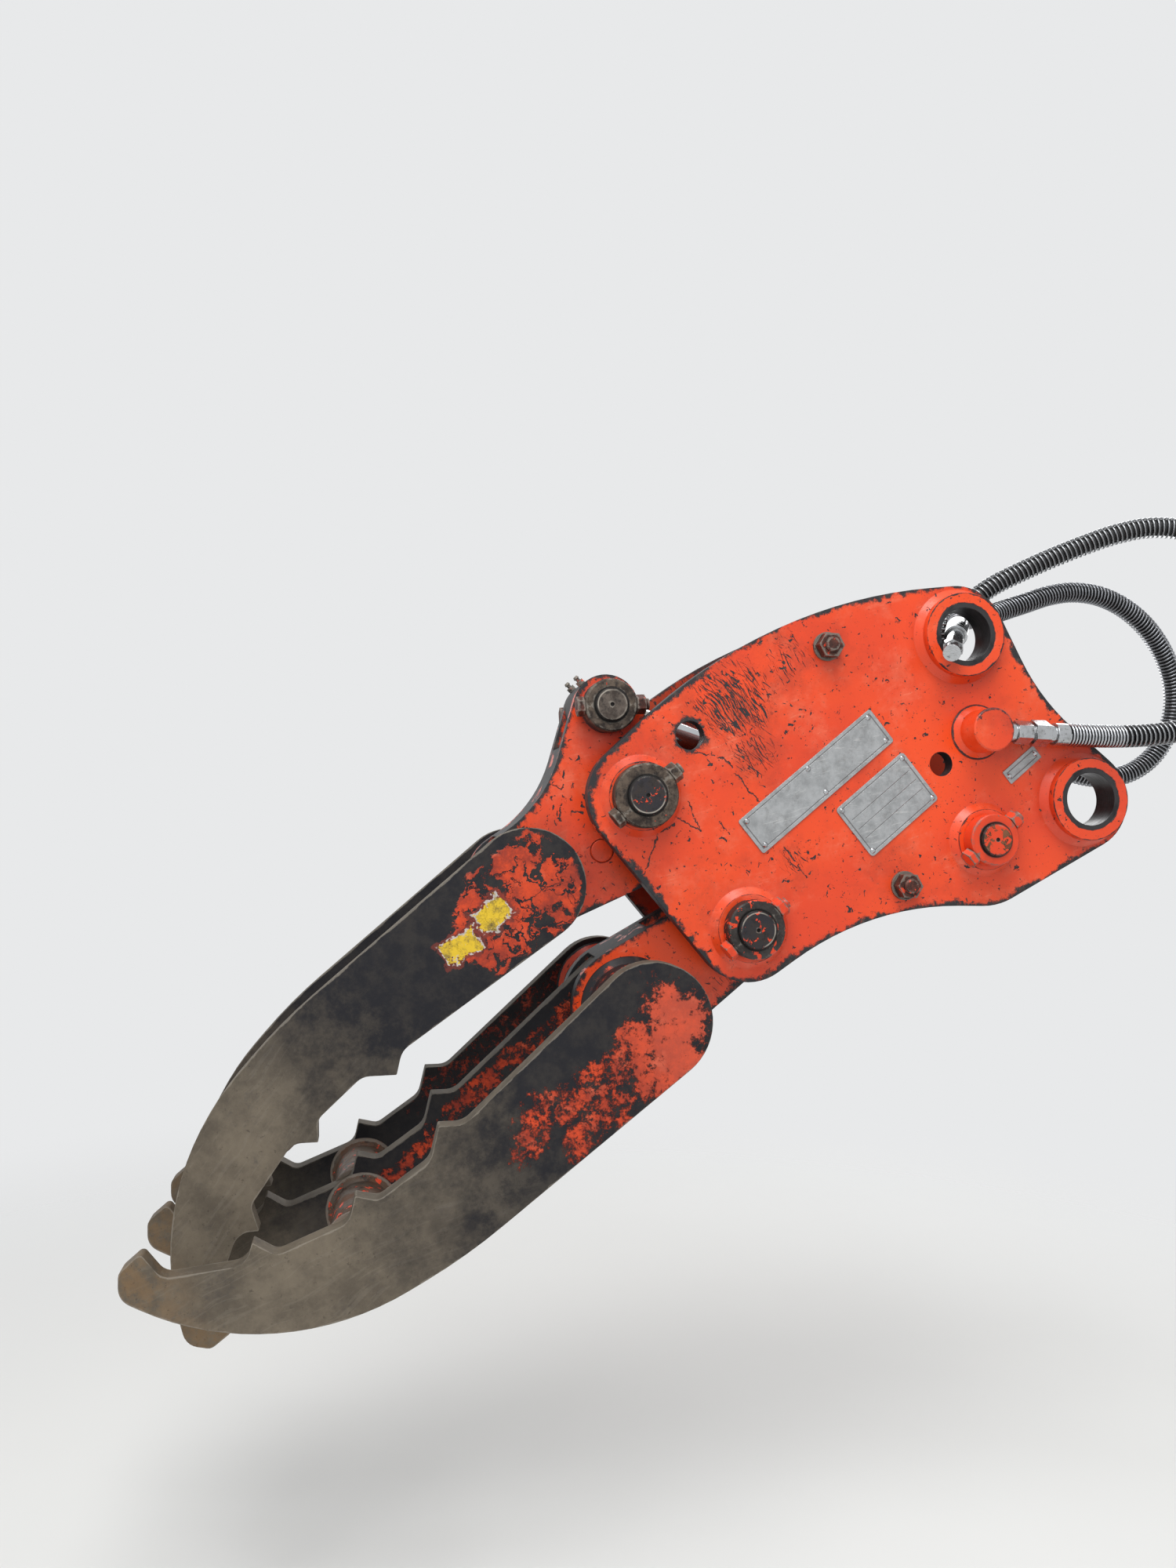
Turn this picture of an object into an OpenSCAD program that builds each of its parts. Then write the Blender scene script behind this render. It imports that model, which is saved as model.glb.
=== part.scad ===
// Hydraulic demolition grapple for a small excavator.
// The origin is the centre of the arm pin bore, midway between the side plates.
// X runs from the jaws to the bores, Y from the near side plate to the far one, Z up.

/* [Frame body] */
// Clear width between the two side plates
body_inner_w = 134; // [126:1:150]
// Thickness of a side plate
plate_t = 16; // [12:1:20]
// Radius of a side plate's ends round the jaw pins
plate_end_r = 55.5; // [52:0.5:58]
// Radius of a side plate's ends round the two bores
bore_end_r = 55; // [52:1:60]
// Radius of a side plate's corner round the cylinder base pin
heel_r = 71; // [66:1:74]
// Link pin bore, left of the arm pin bore
link_left = 149; // [140:1:160]
// Link pin bore, above the arm pin bore
link_up = 170; // [162:1:180]
// Upper jaw pin, left of the arm pin bore
upper_left = 494; // [480:1:505]
// Upper jaw pin, below the arm pin bore
upper_down = 14; // [8:1:20]
// Lower jaw pin, left of the arm pin bore
lower_left = 377; // [370:1:385]
// Lower jaw pin, below the arm pin bore
lower_down = 145; // [140:1:152]
// Cylinder base pin, left of the arm pin bore
base_left = 117; // [108:1:126]
// Cylinder base pin, below the arm pin bore
base_down = 47; // [40:1:54]
// Diameter of the lifting hole
lift_d = 30; // [24:1:34]
// Diameter of the hand hole beside the rating plate
hand_d = 26; // [20:1:32]

/* [Bores for the excavator's pins] */
// Inner diameter of the bushes that take the excavator's pins
bush_bore_d = 57; // [50:1:60]
// Wall of those bushes
bush_wall = 5; // [4:0.5:6]
// Wall of the boss round each bush
boss_wall = 11; // [8:1:12]
// How far each boss stands out of its side plate
boss_out = 16; // [12:1:20]
// Leg of the weld fillet round a boss
weld_leg = 7; // [4:1:9]

/* [Pins] */
// Diameter of the two jaw pins
jaw_pin_d = 40; // [36:1:44]
// Diameter of the cylinder's two pins
cyl_pin_d = 35; // [30:1:38]
// Height of the pin bosses on the side plates
pin_boss_out = 8; // [6:1:12]
// Wall of the pin bosses
pin_boss_wall = 15; // [12:1:18]
// Thickness of the locking collars
collar_t = 18; // [16:1:22]
// Wall of the upper jaw pin's collars
big_collar_wall = 12.5; // [11:0.5:14]
// Wall of the other collars
collar_wall = 10; // [9:0.5:12]
// How far a pin's end stands out of its collar
pin_out = 4; // [2:0.5:8]
// Diameter of the lock bolts
lock_bolt_d = 12; // [10:1:12]

/* [Tie bolts] */
// Diameter of the tie bolts
tie_d = 16; // [14:1:20]
// Outer diameter of the spacer tubes
spacer_d = 34; // [30:1:40]

/* [Jaws] */
// Length of a tine from the centre of its round end to its point
tine_len = 525; // [500:5:550]
// Thickness of a tine
tine_t = 19; // [16:1:22]
// Width over the two upper tines
upper_w = 158; // [150:1:164]
// Width over the three lower tines
lower_w = 284; // [270:2:300]
// Clear width between an arm's two side plates
arm_gap = 41; // [40:1:44]
// Thickness of an arm's side plates
arm_t = 14; // [12:1:16]
// Thickness of the cover plates between them
cover_t = 12; // [8:1:14]
// Outer diameter of the rear cross tubes
rear_tube_d = 90; // [76:2:100]
// Outer diameter of the front cross tubes
front_tube_d = 60; // [48:2:66]
// Wall of the cross tubes
tube_wall = 8; // [5:1:12]
// Outer radius of the arms' hubs round the jaw pins
hub_r = 38; // [35:1:40]
// Wall of the bushes in the hubs
hub_bush_wall = 5; // [4:0.5:6]
// How far the jaws open from the closed rest
open_deg = 42; // [30:1:42]

/* [Cylinder] */
// Outer diameter of the barrel
barrel_d = 76; // [70:1:80]
// Bore of the barrel
bore_d = 60; // [55:1:62]
// Diameter of the rod
rod_d = 38; // [32:1:40]
// Distance from the base pin to the gland's outer face
barrel_len = 304; // [295:1:308]
// Radius of the rod eye and of the lug round it
eye_r = 35; // [34:1:37]

/* [Hoses] */
// Diameter of the blind port bosses
port_d = 46; // [40:1:50]
// How far they stand out of the side plates
port_out = 36; // [30:1:42]
// Diameter of a hose without its guard
hose_d = 19; // [18:1:20]
// Diameter over the coil guard
guard_d = 26; // [24:1:28]

/* [Hidden] */

paint = "orangered";
worn = "dimgray";
steel = "gray";
zinc = "silver";
black = "#202020";
$fn = 48;

// Overrun of cuts, radial play of pins in their bushes, play beside moving pieces
cut = 1;
fit = 0.05;
side_play = 1;
touch = 0.3;
// Greatest distance of a round outline from its chords, and the cosine of half its widest step
bow = 0.12;
least_cos = 0.9;

// Places of the pins, in X and Z
arm_bore = [0, 0];
link_bore = [-link_left, link_up];
upper_pivot = [-upper_left, -upper_down];
lower_pivot = [-lower_left, -lower_down];
base_pivot = [-base_left, -base_down];
// Rod pin from the upper jaw pin
rod_pin_reach = [-29, 94];
rod_pivot = upper_pivot + rod_pin_reach;

// Half widths
inner_y = body_inner_w / 2;
outer_y = inner_y + plate_t;
arm_in = arm_gap / 2;
arm_out = arm_in + arm_t;
jaw_pin_r = jaw_pin_d / 2;
cyl_pin_r = cyl_pin_d / 2;
lug_boss_out = 9;
lug_face = arm_out + lug_boss_out;

// Places of the tie bolts and holes
top_tie = [-299, 150];
low_tie = [-207, -98];
lift_hole = [-445, 50];
hand_hole = [-167, 32];
port = [-126, 68];

// Centres of the side plate's big curves: the round back, the waist and the belly
back_center = [-99, -335];
waist_center = [126, 262];
belly_center = [-141, -440];
curve_spare = 0.6;
waist_spare = 5;

// Jaws: how far the tine's root is from its jaw pin, in X and Z, and the tine's direction
upper_reach = [-111, -93];
lower_reach = [-112, -87];
upper_root = upper_pivot + upper_reach;
lower_root = lower_pivot + lower_reach;
upper_tine_deg = 235.3;
lower_tine_deg = 206;

// Tine outline as shares of its length: along it, towards the teeth, radius (minus for a hollow)
tine_shares = [
    [0, 0, 0.11],
    [0.61, 0.754, 0.98], [0.61, 0.245, 0.472], [0.968, -0.008, 0.034],
    [0.978, 0.014, 0.016], [0.952, 0.030, 0.008], [0.908, 0.008, -0.029],
    [0.815, -0.021, -0.031], [0.781, -0.031, 0.002],
    [0.742, -0.045, -0.022], [0.640, -0.042, -0.030], [0.598, -0.039, 0.002],
    [0.560, -0.038, -0.022], [0.480, -0.010, -0.035], [0.422, 0.005, 0.002],
    [0.380, 0.030, -0.038]
];
front_tube_share = [0.63, -0.135];
root_r = tine_len * tine_shares[0].z;

// Arms: outlines as centres and radii. At the root the upper arm is inside the tine edge, the lower outside.
upper_root_step = 2.75;
lower_root_step = 3.25;
upper_root_arm_r = root_r - upper_root_step;
lower_root_arm_r = root_r + lower_root_step;
arm_hub_r = 50;
upper_heel = upper_pivot + [16, -48];
upper_heel_r = 41;
upper_waist = upper_pivot + [-215, 73];
lower_heel = lower_pivot + [3, -5];
lower_heel_r = 49;

// Tie link: its pins lie this far from the jaw pins, square to the line between them at mid travel
link_lever = 64;
link_pin_d = 25;
link_eye_r = 25;
link_free_eye_r = 34;
link_free_r = 25.5;
link_sleeve_r = 16;
link_end_r = 27;
link_bush_wall = 4;
cover_share = 0.45;
cover_gap = 9;
link_half = 11;
link_t = arm_gap - 2 * side_play;
pivot_line = lower_pivot - upper_pivot;
mid_deg = atan2(pivot_line.y, pivot_line.x) - 90;
upper_link_pivot = upper_pivot + link_lever * dir(mid_deg + open_deg / 2);
lower_link_pivot = lower_pivot + link_lever * dir(mid_deg + 180 - open_deg / 2);

// Cylinder: direction and length at rest
cyl_line = rod_pivot - base_pivot;
cyl_len = norm(cyl_line);
cyl_deg = atan2(cyl_line.y, cyl_line.x);
base_eye_r = 36;
base_eye_w = 60;
barrel_end_wall = 14;
gland_len = 30;
gland_lip = 2;
piston_t = 34;
piston_seat = 4;
wiper_t = 5;
wiper_wall = 4;
rod_eye_play = 6.5;
rod_nut_t = 12;
rod_nut_d = 46;
base_boss_r = 30;
eye_overlap = 10;
rod_bush_wall = 4;
port_block_w = 30;
port_block_l = 34;
port_block_h = 16;
port_block_places = [62, 252];

// Small hardware
nut_across_share = 1.5;
nut_high_share = 0.8;
head_high_share = 0.65;
washer_across_share = 1.9;
washer_t = 3;
bolt_tail = 4;
center_d = 4;
center_deep = 2;
chamfer = 1.5;
lock_deg = 40;
rod_lock_deg = 5;

// Plates on the near side
sheet_t = 1.5;
plate_deg = 41;
name_size = [188, 43];
name_at = [-307, 9];
rating_size = [98, 64];
rating_at = [-228, -13];
label_size = [47, 16];
label_at = [-73, 35];
rivet_d = 6;
rivet_high = 1.6;
// Rivets as shares of their plate's sides
name_rivet_shares = [[-0.46, -0.36], [0, -0.36], [0.46, -0.36], [-0.46, 0.36], [0, 0.36], [0.46, 0.36]];
rating_rivet_shares = [[-0.45, -0.42], [0.45, -0.42], [-0.45, 0.42], [0.45, 0.42]];
label_rivet_shares = [[-0.42, 0], [0.42, 0]];
plate_round_share = 0.06;

// Grease nipples on the rod pin's lugs
nipple_deg = 137;
nipple_hex = 9;
nipple_h = 5;
nipple_neck_d = 4.5;
nipple_head_d = 6.5;

// Hose fittings
port_thread_d = 17;
port_thread_deep = 10;
port_bore_d = 12;
oil_d = 8;
port_end_wall = 8;
port_y = outer_y + port_out / 2;
adapter_hex = 22;
adapter_neck_d = 19;
adapter_nut = 25;
// Lengths of the adapter's neck, hexagon, groove, swivel nut, nut tail and ferrule
adapter_lens = [10, 17, 3, 17, 9, 14];
adapter_len = adapter_lens * [1, 1, 1, 1, 1, 1];
inner_hex = 22;
inner_hex_t = 10;
inner_nipple_d = 17;
inner_nipple_t = 12;
ferrule_d = 24;
ferrule_len = 40;
ferrule_groove = 1;
ferrule_groove_places = [8, 16, 24, 32];
ferrule_groove_w = 2;
stem_d = 18;
near_stem = 6;
far_stem = 35;
plug_hex = 19;
plug_hex_t = 16;
plug_d = 18;
plug_len = 14;

// Routes of the two hoses
near_route = [
    [-32.8, -101, 68], [-5, -101, 68], [30, -101, 69], [66, -101, 72], [102, -101, 78],
    [138, -101, 87], [173, -100, 101], [205, -97, 121], [232, -92, 148], [250, -85, 181],
    [257, -76, 217], [251, -65, 253], [233, -52, 285], [206, -39, 310], [172, -26, 326],
    [135, -13, 330], [97, -2, 322], [60, 9, 308], [24, 20, 292], [-10, 29, 275],
    [-42, 37, 257], [-69, 43, 234], [-88, 47, 205], [-95, 48, 172]
];
far_route = [
    [-32.8, 101, 68], [-5, 101, 68], [25, 101, 65], [60, 101, 57], [95, 101, 47],
    [130, 101, 39], [165, 101, 39], [198, 101, 49], [226, 99, 71], [243, 95, 103],
    [246, 89, 138], [236, 81, 172], [215, 73, 203], [186, 66, 230], [152, 61, 250],
    [115, 57, 261], [77, 53, 262], [40, 47, 254], [5, 40, 241], [-30, 33, 228],
    [-59, 22, 217], [-83, 5, 211], [-116, -27, 200], [-133, -52, 187]
];
hose_steps = 2;
hose_sides = 8;

// Coil guard of the near hose: wire, tightly wound curls at the fitting, curls along the rest
guard_wire_r = 1.6;
guard_tight = 8;
guard_tight_pitch = 5;
guard_open = 62;
guard_inset = 2;
curl_steps = 8;
wire_sides = 6;

// Unit vector at an angle
function dir(a) = [cos(a), sin(a)];

// Outline round a list of circles [centre, radius] taken anticlockwise, joined by their common tangents.
// A radius below zero makes a hollow curve.
function touch_deg(a, b) =
    let (d = b[0] - a[0]) atan2(d.y, d.x) + asin((a[1] - b[1]) / norm(d));
function turn(from, to, hollow) =
    let (t = (to - from) % 360, u = t < 0 ? t + 360 : t, full = hollow ? 10 : 350) u > full ? u - 360 : u;
function belt(c) = [
    for (i = [0:len(c) - 1])
        let (
            n = len(c),
            before = touch_deg(c[(i + n - 1) % n], c[i]) - 90,
            after = touch_deg(c[i], c[(i + 1) % n]) - 90,
            sweep = turn(before, after, c[i][1] < 0),
            step = 2 * acos(max(least_cos, 1 - bow / abs(c[i][1]))),
            steps = max(1, ceil(abs(sweep) / step))
        )
        for (k = [0:steps]) c[i][0] + c[i][1] * dir(before + sweep * k / steps)
];
function inset(c, t) = [for (p = c) [p[0], p[1] - t]];
// Radius of a hollow curve that just clears its neighbours, and of a round one that just holds them
function hollow_r(c, neighbours, spare) = min([for (n = neighbours) norm(c - n[0]) - n[1]]) - spare;
function round_r(c, neighbours, spare) = min([for (n = neighbours) norm(c - n[0]) + n[1]]) - spare;

// Smooth curve through a list of points, each span cut into a number of steps
function smooth(p, steps) = concat([
    for (i = [0:len(p) - 2], k = [0:steps - 1])
        let (
            t = k / steps,
            a = i > 0 ? p[i - 1] : 2 * p[0] - p[1],
            b = p[i],
            c = p[i + 1],
            d = i < len(p) - 2 ? p[i + 2] : 2 * c - b
        )
        (2 * b + (c - a) * t + (2 * a - 5 * b + 4 * c - d) * t * t + (3 * b - a - 3 * c + d) * t * t * t) / 2
], [p[len(p) - 1]]);
function unit(v) = v / norm(v);
function headings(p) = [for (i = [0:len(p) - 1]) unit(p[min(i + 1, len(p) - 1)] - p[max(i - 1, 0)])];
function square_to(n, t) = unit(n - (n * t) * t);
// Sideways directions along a path that turn with it and don't twist
function sideways(t) = [
    for (
        i = 0, n = square_to([0, 0, 1], t[0]);
        i < len(t);
        i = i + 1, n = i < len(t) ? square_to(n, t[i]) : n
    ) n
];
// Distance along a path at each of its points
function run(p) = [
    for (
        i = 0, s = 0;
        i < len(p);
        i = i + 1, s = i < len(p) ? s + norm(p[i] - p[i - 1]) : s
    ) s
];
// Value of a table of vectors between its keys
function between(s, keys, v) = [
    for (k = [0:2]) lookup(s, [for (i = [0:len(keys) - 1]) [keys[i], v[i][k]]])
];

// A closed tube round a path
module tube_along(path, r, sides) {
    t = headings(path);
    n = sideways(t);
    last = len(path) - 1;
    points = [
        for (i = [0:last], k = [0:sides - 1])
            path[i] + r * (cos(360 * k / sides) * n[i] + sin(360 * k / sides) * cross(t[i], n[i]))
    ];
    faces = concat(
        [for (i = [0:last - 1], k = [0:sides - 1]) let (a = i * sides + k, b = i * sides + (k + 1) % sides)
            each [[a + sides, b, a], [a + sides, b + sides, b]]],
        [for (k = [1:sides - 2]) [k, k + 1, 0]],
        [for (k = [1:sides - 2]) [last * sides + k + 1, last * sides + k, last * sides]]
    );
    polyhedron(points, faces);
}

// A plate cut from an outline in X and Z, between two places in Y
module plate(points, y0, y1) {
    translate([0, y1, 0]) rotate([90, 0, 0]) linear_extrude(y1 - y0) polygon(points);
}

// A round bar along Y at a place in X and Z, between two places in Y
module bar(at, r, y0, y1) {
    translate([at.x, y1, at.y]) rotate([90, 0, 0]) cylinder(r = r, h = y1 - y0);
}

// A round bar with turned edges at both ends
module turned_bar(at, r, y0, y1, c = chamfer) {
    translate([at.x, y1, at.y]) rotate([90, 0, 0]) rotate_extrude()
        polygon([[0, 0], [r - c, 0], [r, c], [r, y1 - y0 - c], [r - c, y1 - y0], [0, y1 - y0]]);
}

// A weld bead round a boss on the near plate, sunk into the piece that it belongs to
module bead(at, r, sink = cut) {
    translate([at.x, 0, at.y]) rotate([90, 0, 0]) rotate_extrude() polygon([
        [r - cut, outer_y - sink], [r + weld_leg, outer_y - sink], [r + weld_leg, outer_y],
        [r, outer_y + weld_leg], [r - cut, outer_y + weld_leg]
    ]);
}

// A tube along Y between two plates, with a weld bead at each end
module cross_tube(at, r, y0, y1) {
    leg = min(weld_leg, (y1 - y0) / 3);
    difference() {
        translate([at.x, y1, at.y]) rotate([90, 0, 0]) rotate_extrude() polygon([
            [0, 0], [r + leg, 0], [r, leg], [r, y1 - y0 - leg], [r + leg, y1 - y0], [0, y1 - y0]
        ]);
        bar(at, r - tube_wall, y0 - cut, y1 + cut);
    }
}

// The same pieces on both sides of the mid plane
module both_sides() {
    children();
    mirror([0, 1, 0]) children();
}

// A hexagon along Z
module hex(across, h) {
    cylinder(d = across / cos(30), h = h, $fn = 6);
}

// Side plate with its welded bosses, as the near one
module side_plate() {
    bush_r = bush_bore_d / 2 + bush_wall;
    boss_r = bush_r + boss_wall;
    pins = [[upper_pivot, jaw_pin_r], [lower_pivot, jaw_pin_r], [base_pivot, cyl_pin_r]];
    upper_end = [upper_pivot, plate_end_r];
    lower_end = [lower_pivot, plate_end_r];
    heel = [base_pivot, heel_r];
    arm_end = [arm_bore, bore_end_r];
    link_end = [link_bore, bore_end_r];
    outline = [
        upper_end, lower_end,
        [belly_center, -hollow_r(belly_center, [lower_end, heel], curve_spare)],
        heel, arm_end,
        [waist_center, -hollow_r(waist_center, [arm_end, link_end], waist_spare)],
        link_end,
        [back_center, round_r(back_center, [link_end, upper_end], curve_spare)]
    ];
    difference() {
        union() {
            plate(belt(outline), -outer_y, -inner_y);
            for (at = [arm_bore, link_bore]) {
                bar(at, boss_r, -outer_y - boss_out, -inner_y);
                bead(at, boss_r);
            }
            for (p = pins) {
                bar(p[0], p[1] + pin_boss_wall, -outer_y - pin_boss_out, -inner_y);
                bead(p[0], p[1] + pin_boss_wall);
            }
            bar(base_pivot, base_boss_r, -outer_y, -base_eye_w / 2 - side_play);
        }
        for (at = [arm_bore, link_bore]) bar(at, bush_r, -outer_y - boss_out - cut, -inner_y + cut);
        for (p = pins) bar(p[0], p[1] + fit, -outer_y - pin_boss_out - cut, 0);
        for (at = [top_tie, low_tie]) bar(at, tie_d / 2 + fit, -outer_y - cut, -inner_y + cut);
        bar(lift_hole, lift_d / 2, -outer_y - cut, -inner_y + cut);
        bar(hand_hole, hand_d / 2, -outer_y - cut, -inner_y + cut);
        bar(port, port_bore_d / 2, -outer_y - cut, -inner_y + cut);
    }
}

module side_plate_near() {
    color(paint) side_plate();
}

module side_plate_far() {
    color(paint) mirror([0, 1, 0]) side_plate();
}

// Pressed bushes that take the excavator's pins
module pin_bushes(at) {
    color(worn) both_sides() difference() {
        bar(at, bush_bore_d / 2 + bush_wall, -outer_y - boss_out, -inner_y);
        bar(at, bush_bore_d / 2, -outer_y - boss_out - cut, -inner_y + cut);
    }
}

module link_pin_bushes() {
    pin_bushes(link_bore);
}

module arm_pin_bushes() {
    pin_bushes(arm_bore);
}

// A pin with turned ends, a lathe centre in each end and the cross holes of its lock bolts
module cross_pin(at, r, face, angle) {
    end = face + collar_t + pin_out;
    color(steel) difference() {
        turned_bar(at, r, -end, end);
        both_sides() {
            bar(at, center_d / 2, -end - cut, -end + center_deep);
            across_pin(at, face, angle) cylinder(r = lock_bolt_d / 2 + fit, h = 4 * r, center = true);
        }
    }
}

// The place of a lock bolt: across the pin, halfway through its near collar
module across_pin(at, face, angle) {
    translate([at.x, -face - collar_t / 2, at.y]) rotate([0, 90 - angle, 0]) children();
}

module collars(at, r, wall, face, angle) {
    color(worn) both_sides() difference() {
        turned_bar(at, r + wall, -face - collar_t, -face);
        bar(at, r + fit, -face - collar_t - cut, -face + cut);
        across_pin(at, face, angle) cylinder(r = lock_bolt_d / 2 + fit, h = 4 * (r + wall), center = true);
    }
}

module lock_bolts(at, r, wall, face, angle) {
    reach = r + wall;
    color(worn) both_sides() across_pin(at, face, angle) {
        translate([0, 0, -reach])
            cylinder(d = lock_bolt_d, h = 2 * reach + bolt_tail + lock_bolt_d * nut_high_share);
        translate([0, 0, reach]) hex(lock_bolt_d * nut_across_share, lock_bolt_d * nut_high_share);
        translate([0, 0, -reach - lock_bolt_d * head_high_share])
            hex(lock_bolt_d * nut_across_share, lock_bolt_d * head_high_share);
    }
}

pin_face = outer_y + pin_boss_out;

module upper_pivot_pin() {
    cross_pin(upper_pivot, jaw_pin_r, pin_face, lock_deg);
}

module upper_pivot_collars() {
    collars(upper_pivot, jaw_pin_r, big_collar_wall, pin_face, lock_deg);
}

module upper_pivot_lock_bolts() {
    lock_bolts(upper_pivot, jaw_pin_r, big_collar_wall, pin_face, lock_deg);
}

module lower_pivot_pin() {
    cross_pin(lower_pivot, jaw_pin_r, pin_face, lock_deg);
}

module lower_pivot_collars() {
    collars(lower_pivot, jaw_pin_r, collar_wall, pin_face, lock_deg);
}

module lower_pivot_lock_bolts() {
    lock_bolts(lower_pivot, jaw_pin_r, collar_wall, pin_face, lock_deg);
}

module base_pin() {
    cross_pin(base_pivot, cyl_pin_r, pin_face, lock_deg);
}

module base_pin_collars() {
    collars(base_pivot, cyl_pin_r, collar_wall, pin_face, lock_deg);
}

module base_pin_lock_bolts() {
    lock_bolts(base_pivot, cyl_pin_r, collar_wall, pin_face, lock_deg);
}

// Long bolts that clamp the side plates on their spacer tubes
module tie_bolts() {
    nut_face = outer_y + washer_t;
    end = nut_face + tie_d * nut_high_share + bolt_tail;
    color(worn) for (at = [top_tie, low_tie]) {
        turned_bar(at, tie_d / 2, -end, end);
        both_sides() {
            translate([at.x, -outer_y, at.y]) rotate([90, 0, 0])
                cylinder(d = tie_d * washer_across_share, h = washer_t);
            translate([at.x, -nut_face, at.y]) rotate([90, 0, 0])
                hex(tie_d * nut_across_share, tie_d * nut_high_share);
        }
    }
}

module spacer_tubes() {
    color(paint) for (at = [top_tie, low_tie]) difference() {
        bar(at, spacer_d / 2, -inner_y, inner_y);
        bar(at, tie_d / 2 + cut, -inner_y - cut, inner_y + cut);
    }
}

// Blind bosses that carry the oil through the side plates, each with a side outlet
module port_bosses() {
    color(paint) both_sides() difference() {
        union() {
            turned_bar(port, port_d / 2, -outer_y - port_out, -outer_y);
            bead(port, port_d / 2, 0);
        }
        bar(port, port_bore_d / 2, -outer_y - port_out + port_end_wall, -outer_y + cut);
        translate([port.x, -port_y, port.y]) rotate([0, 90, 0]) cylinder(d = port_thread_d, h = port_d);
    }
}

// Straight adapter and swivel nut from a port boss to its hose
module hose_adapters() {
    l = adapter_lens;
    boss_r = port_d / 2;
    nut_z = boss_r + l[0] + l[1] + l[2];
    color(zinc) both_sides() translate([port.x, -port_y, port.y]) rotate([0, 90, 0]) difference() {
        union() {
            translate([0, 0, boss_r - port_thread_deep])
                cylinder(r = port_thread_d / 2 - fit, h = port_thread_deep + l[0]);
            translate([0, 0, boss_r]) cylinder(d = adapter_neck_d, h = l[0] + l[1] + l[2]);
            translate([0, 0, boss_r + l[0]]) hex(adapter_hex, l[1]);
            translate([0, 0, nut_z]) hex(adapter_nut, l[3]);
            translate([0, 0, nut_z + l[3]]) cylinder(d = adapter_neck_d, h = l[4]);
            translate([0, 0, nut_z + l[3] + l[4]]) cylinder(d = ferrule_d, h = l[5]);
        }
        cylinder(d = oil_d, h = boss_r + adapter_len + cut);
    }
}

// Nipples inside the side plates, where the leads to the cylinder start
module inner_fittings() {
    color(zinc) both_sides() translate([port.x, -inner_y, port.y]) rotate([-90, 0, 0]) difference() {
        union() {
            hex(inner_hex, inner_hex_t);
            cylinder(d = inner_nipple_d, h = inner_hex_t + inner_nipple_t);
        }
        translate([0, 0, -cut]) cylinder(d = oil_d, h = inner_hex_t + inner_nipple_t + 2 * cut);
    }
}

// A sheet plate on the near side, with rounded corners
module sheet_plate(at, size) {
    r = size.y * plate_round_share;
    corner = size / 2 - [r, r];
    outline = [for (s = [[1, 1], [-1, 1], [-1, -1], [1, -1]]) [[s.x * corner.x, s.y * corner.y], r]];
    translate([at.x, -outer_y, at.y]) rotate([90, 0, 0]) rotate([0, 0, plate_deg])
        linear_extrude(sheet_t) polygon(belt(outline));
}

module name_plate() {
    color(zinc) sheet_plate(name_at, name_size);
}

module rating_plate() {
    color(zinc) sheet_plate(rating_at, rating_size);
}

module label_plate() {
    color(zinc) sheet_plate(label_at, label_size);
}

// Dome rivets that hold the three plates
module plate_rivets() {
    sets = [
        [name_at, name_size, name_rivet_shares], [rating_at, rating_size, rating_rivet_shares],
        [label_at, label_size, label_rivet_shares]
    ];
    color(zinc) for (s = sets, p = s[2])
        translate([s[0].x, -outer_y - sheet_t, s[0].y]) rotate([90, 0, 0]) rotate([0, 0, plate_deg])
            translate([p.x * s[1].x, p.y * s[1].y, 0])
                cylinder(d1 = rivet_d, d2 = rivet_d / 2, h = rivet_high);
}

upper_lug = [rod_pivot, eye_r];
upper_end = [upper_root, upper_root_arm_r];
upper_arm = [
    upper_lug, [upper_waist, -hollow_r(upper_waist, [upper_lug, upper_end], curve_spare)], upper_end,
    [upper_heel, upper_heel_r], [upper_pivot, arm_hub_r]
];
lower_arm = [
    [lower_root, lower_root_arm_r], [lower_heel, lower_heel_r], [lower_link_pivot, link_end_r],
    [lower_heel, lower_heel_r]
];

// The near side plate of an arm with its hub, drilled for the jaw pin's bush and the tie link's pin
module arm_plate(outline, pivot, link_pivot) {
    difference() {
        union() {
            plate(belt(outline), -arm_out, -arm_in);
            bar(pivot, hub_r, -inner_y + side_play, -arm_in);
        }
        bar(pivot, jaw_pin_r + hub_bush_wall, -inner_y, 0);
        bar(link_pivot, link_pin_d / 2 + fit, -inner_y, 0);
    }
}

module upper_arm_plates() {
    color(paint) both_sides() difference() {
        union() {
            arm_plate(upper_arm, upper_pivot, upper_link_pivot);
            bar(rod_pivot, cyl_pin_r + collar_wall, -lug_face, -arm_in);
        }
        bar(rod_pivot, cyl_pin_r + fit, -inner_y, 0);
    }
}

// Strip between the arm's plates along their outer edge, from the rod's lug to the rear tube
module upper_arm_cover() {
    top = rod_pivot - [0, eye_r + cover_gap];
    reach = norm(upper_root - top);
    color(paint) intersection() {
        difference() {
            plate(belt(upper_arm), -arm_in, arm_in);
            plate(belt(inset(upper_arm, cover_t)), -arm_in - cut, arm_in + cut);
            bar(upper_root, upper_root_arm_r + touch, -arm_in - cut, arm_in + cut);
        }
        plate([upper_root, top, top - [reach, 0], upper_root - [reach, reach]], -arm_in, arm_in);
    }
}

// One tine; side is 1 where its teeth look left of its direction and -1 where they look right
module tine(root, angle, side, y0) {
    circles = [for (s = tine_shares) [tine_len * [s.x, s.y], tine_len * s.z]];
    color(worn) translate([root.x, y0 + tine_t, root.y]) rotate([90, 0, 0]) rotate([0, 0, angle])
        linear_extrude(tine_t) polygon([for (p = belt(circles)) [p.x, side * p.y]]);
}

function front_tube_at(root, angle, side) =
    root + tine_len * (front_tube_share.x * dir(angle) + side * front_tube_share.y * dir(angle + 90));

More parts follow.
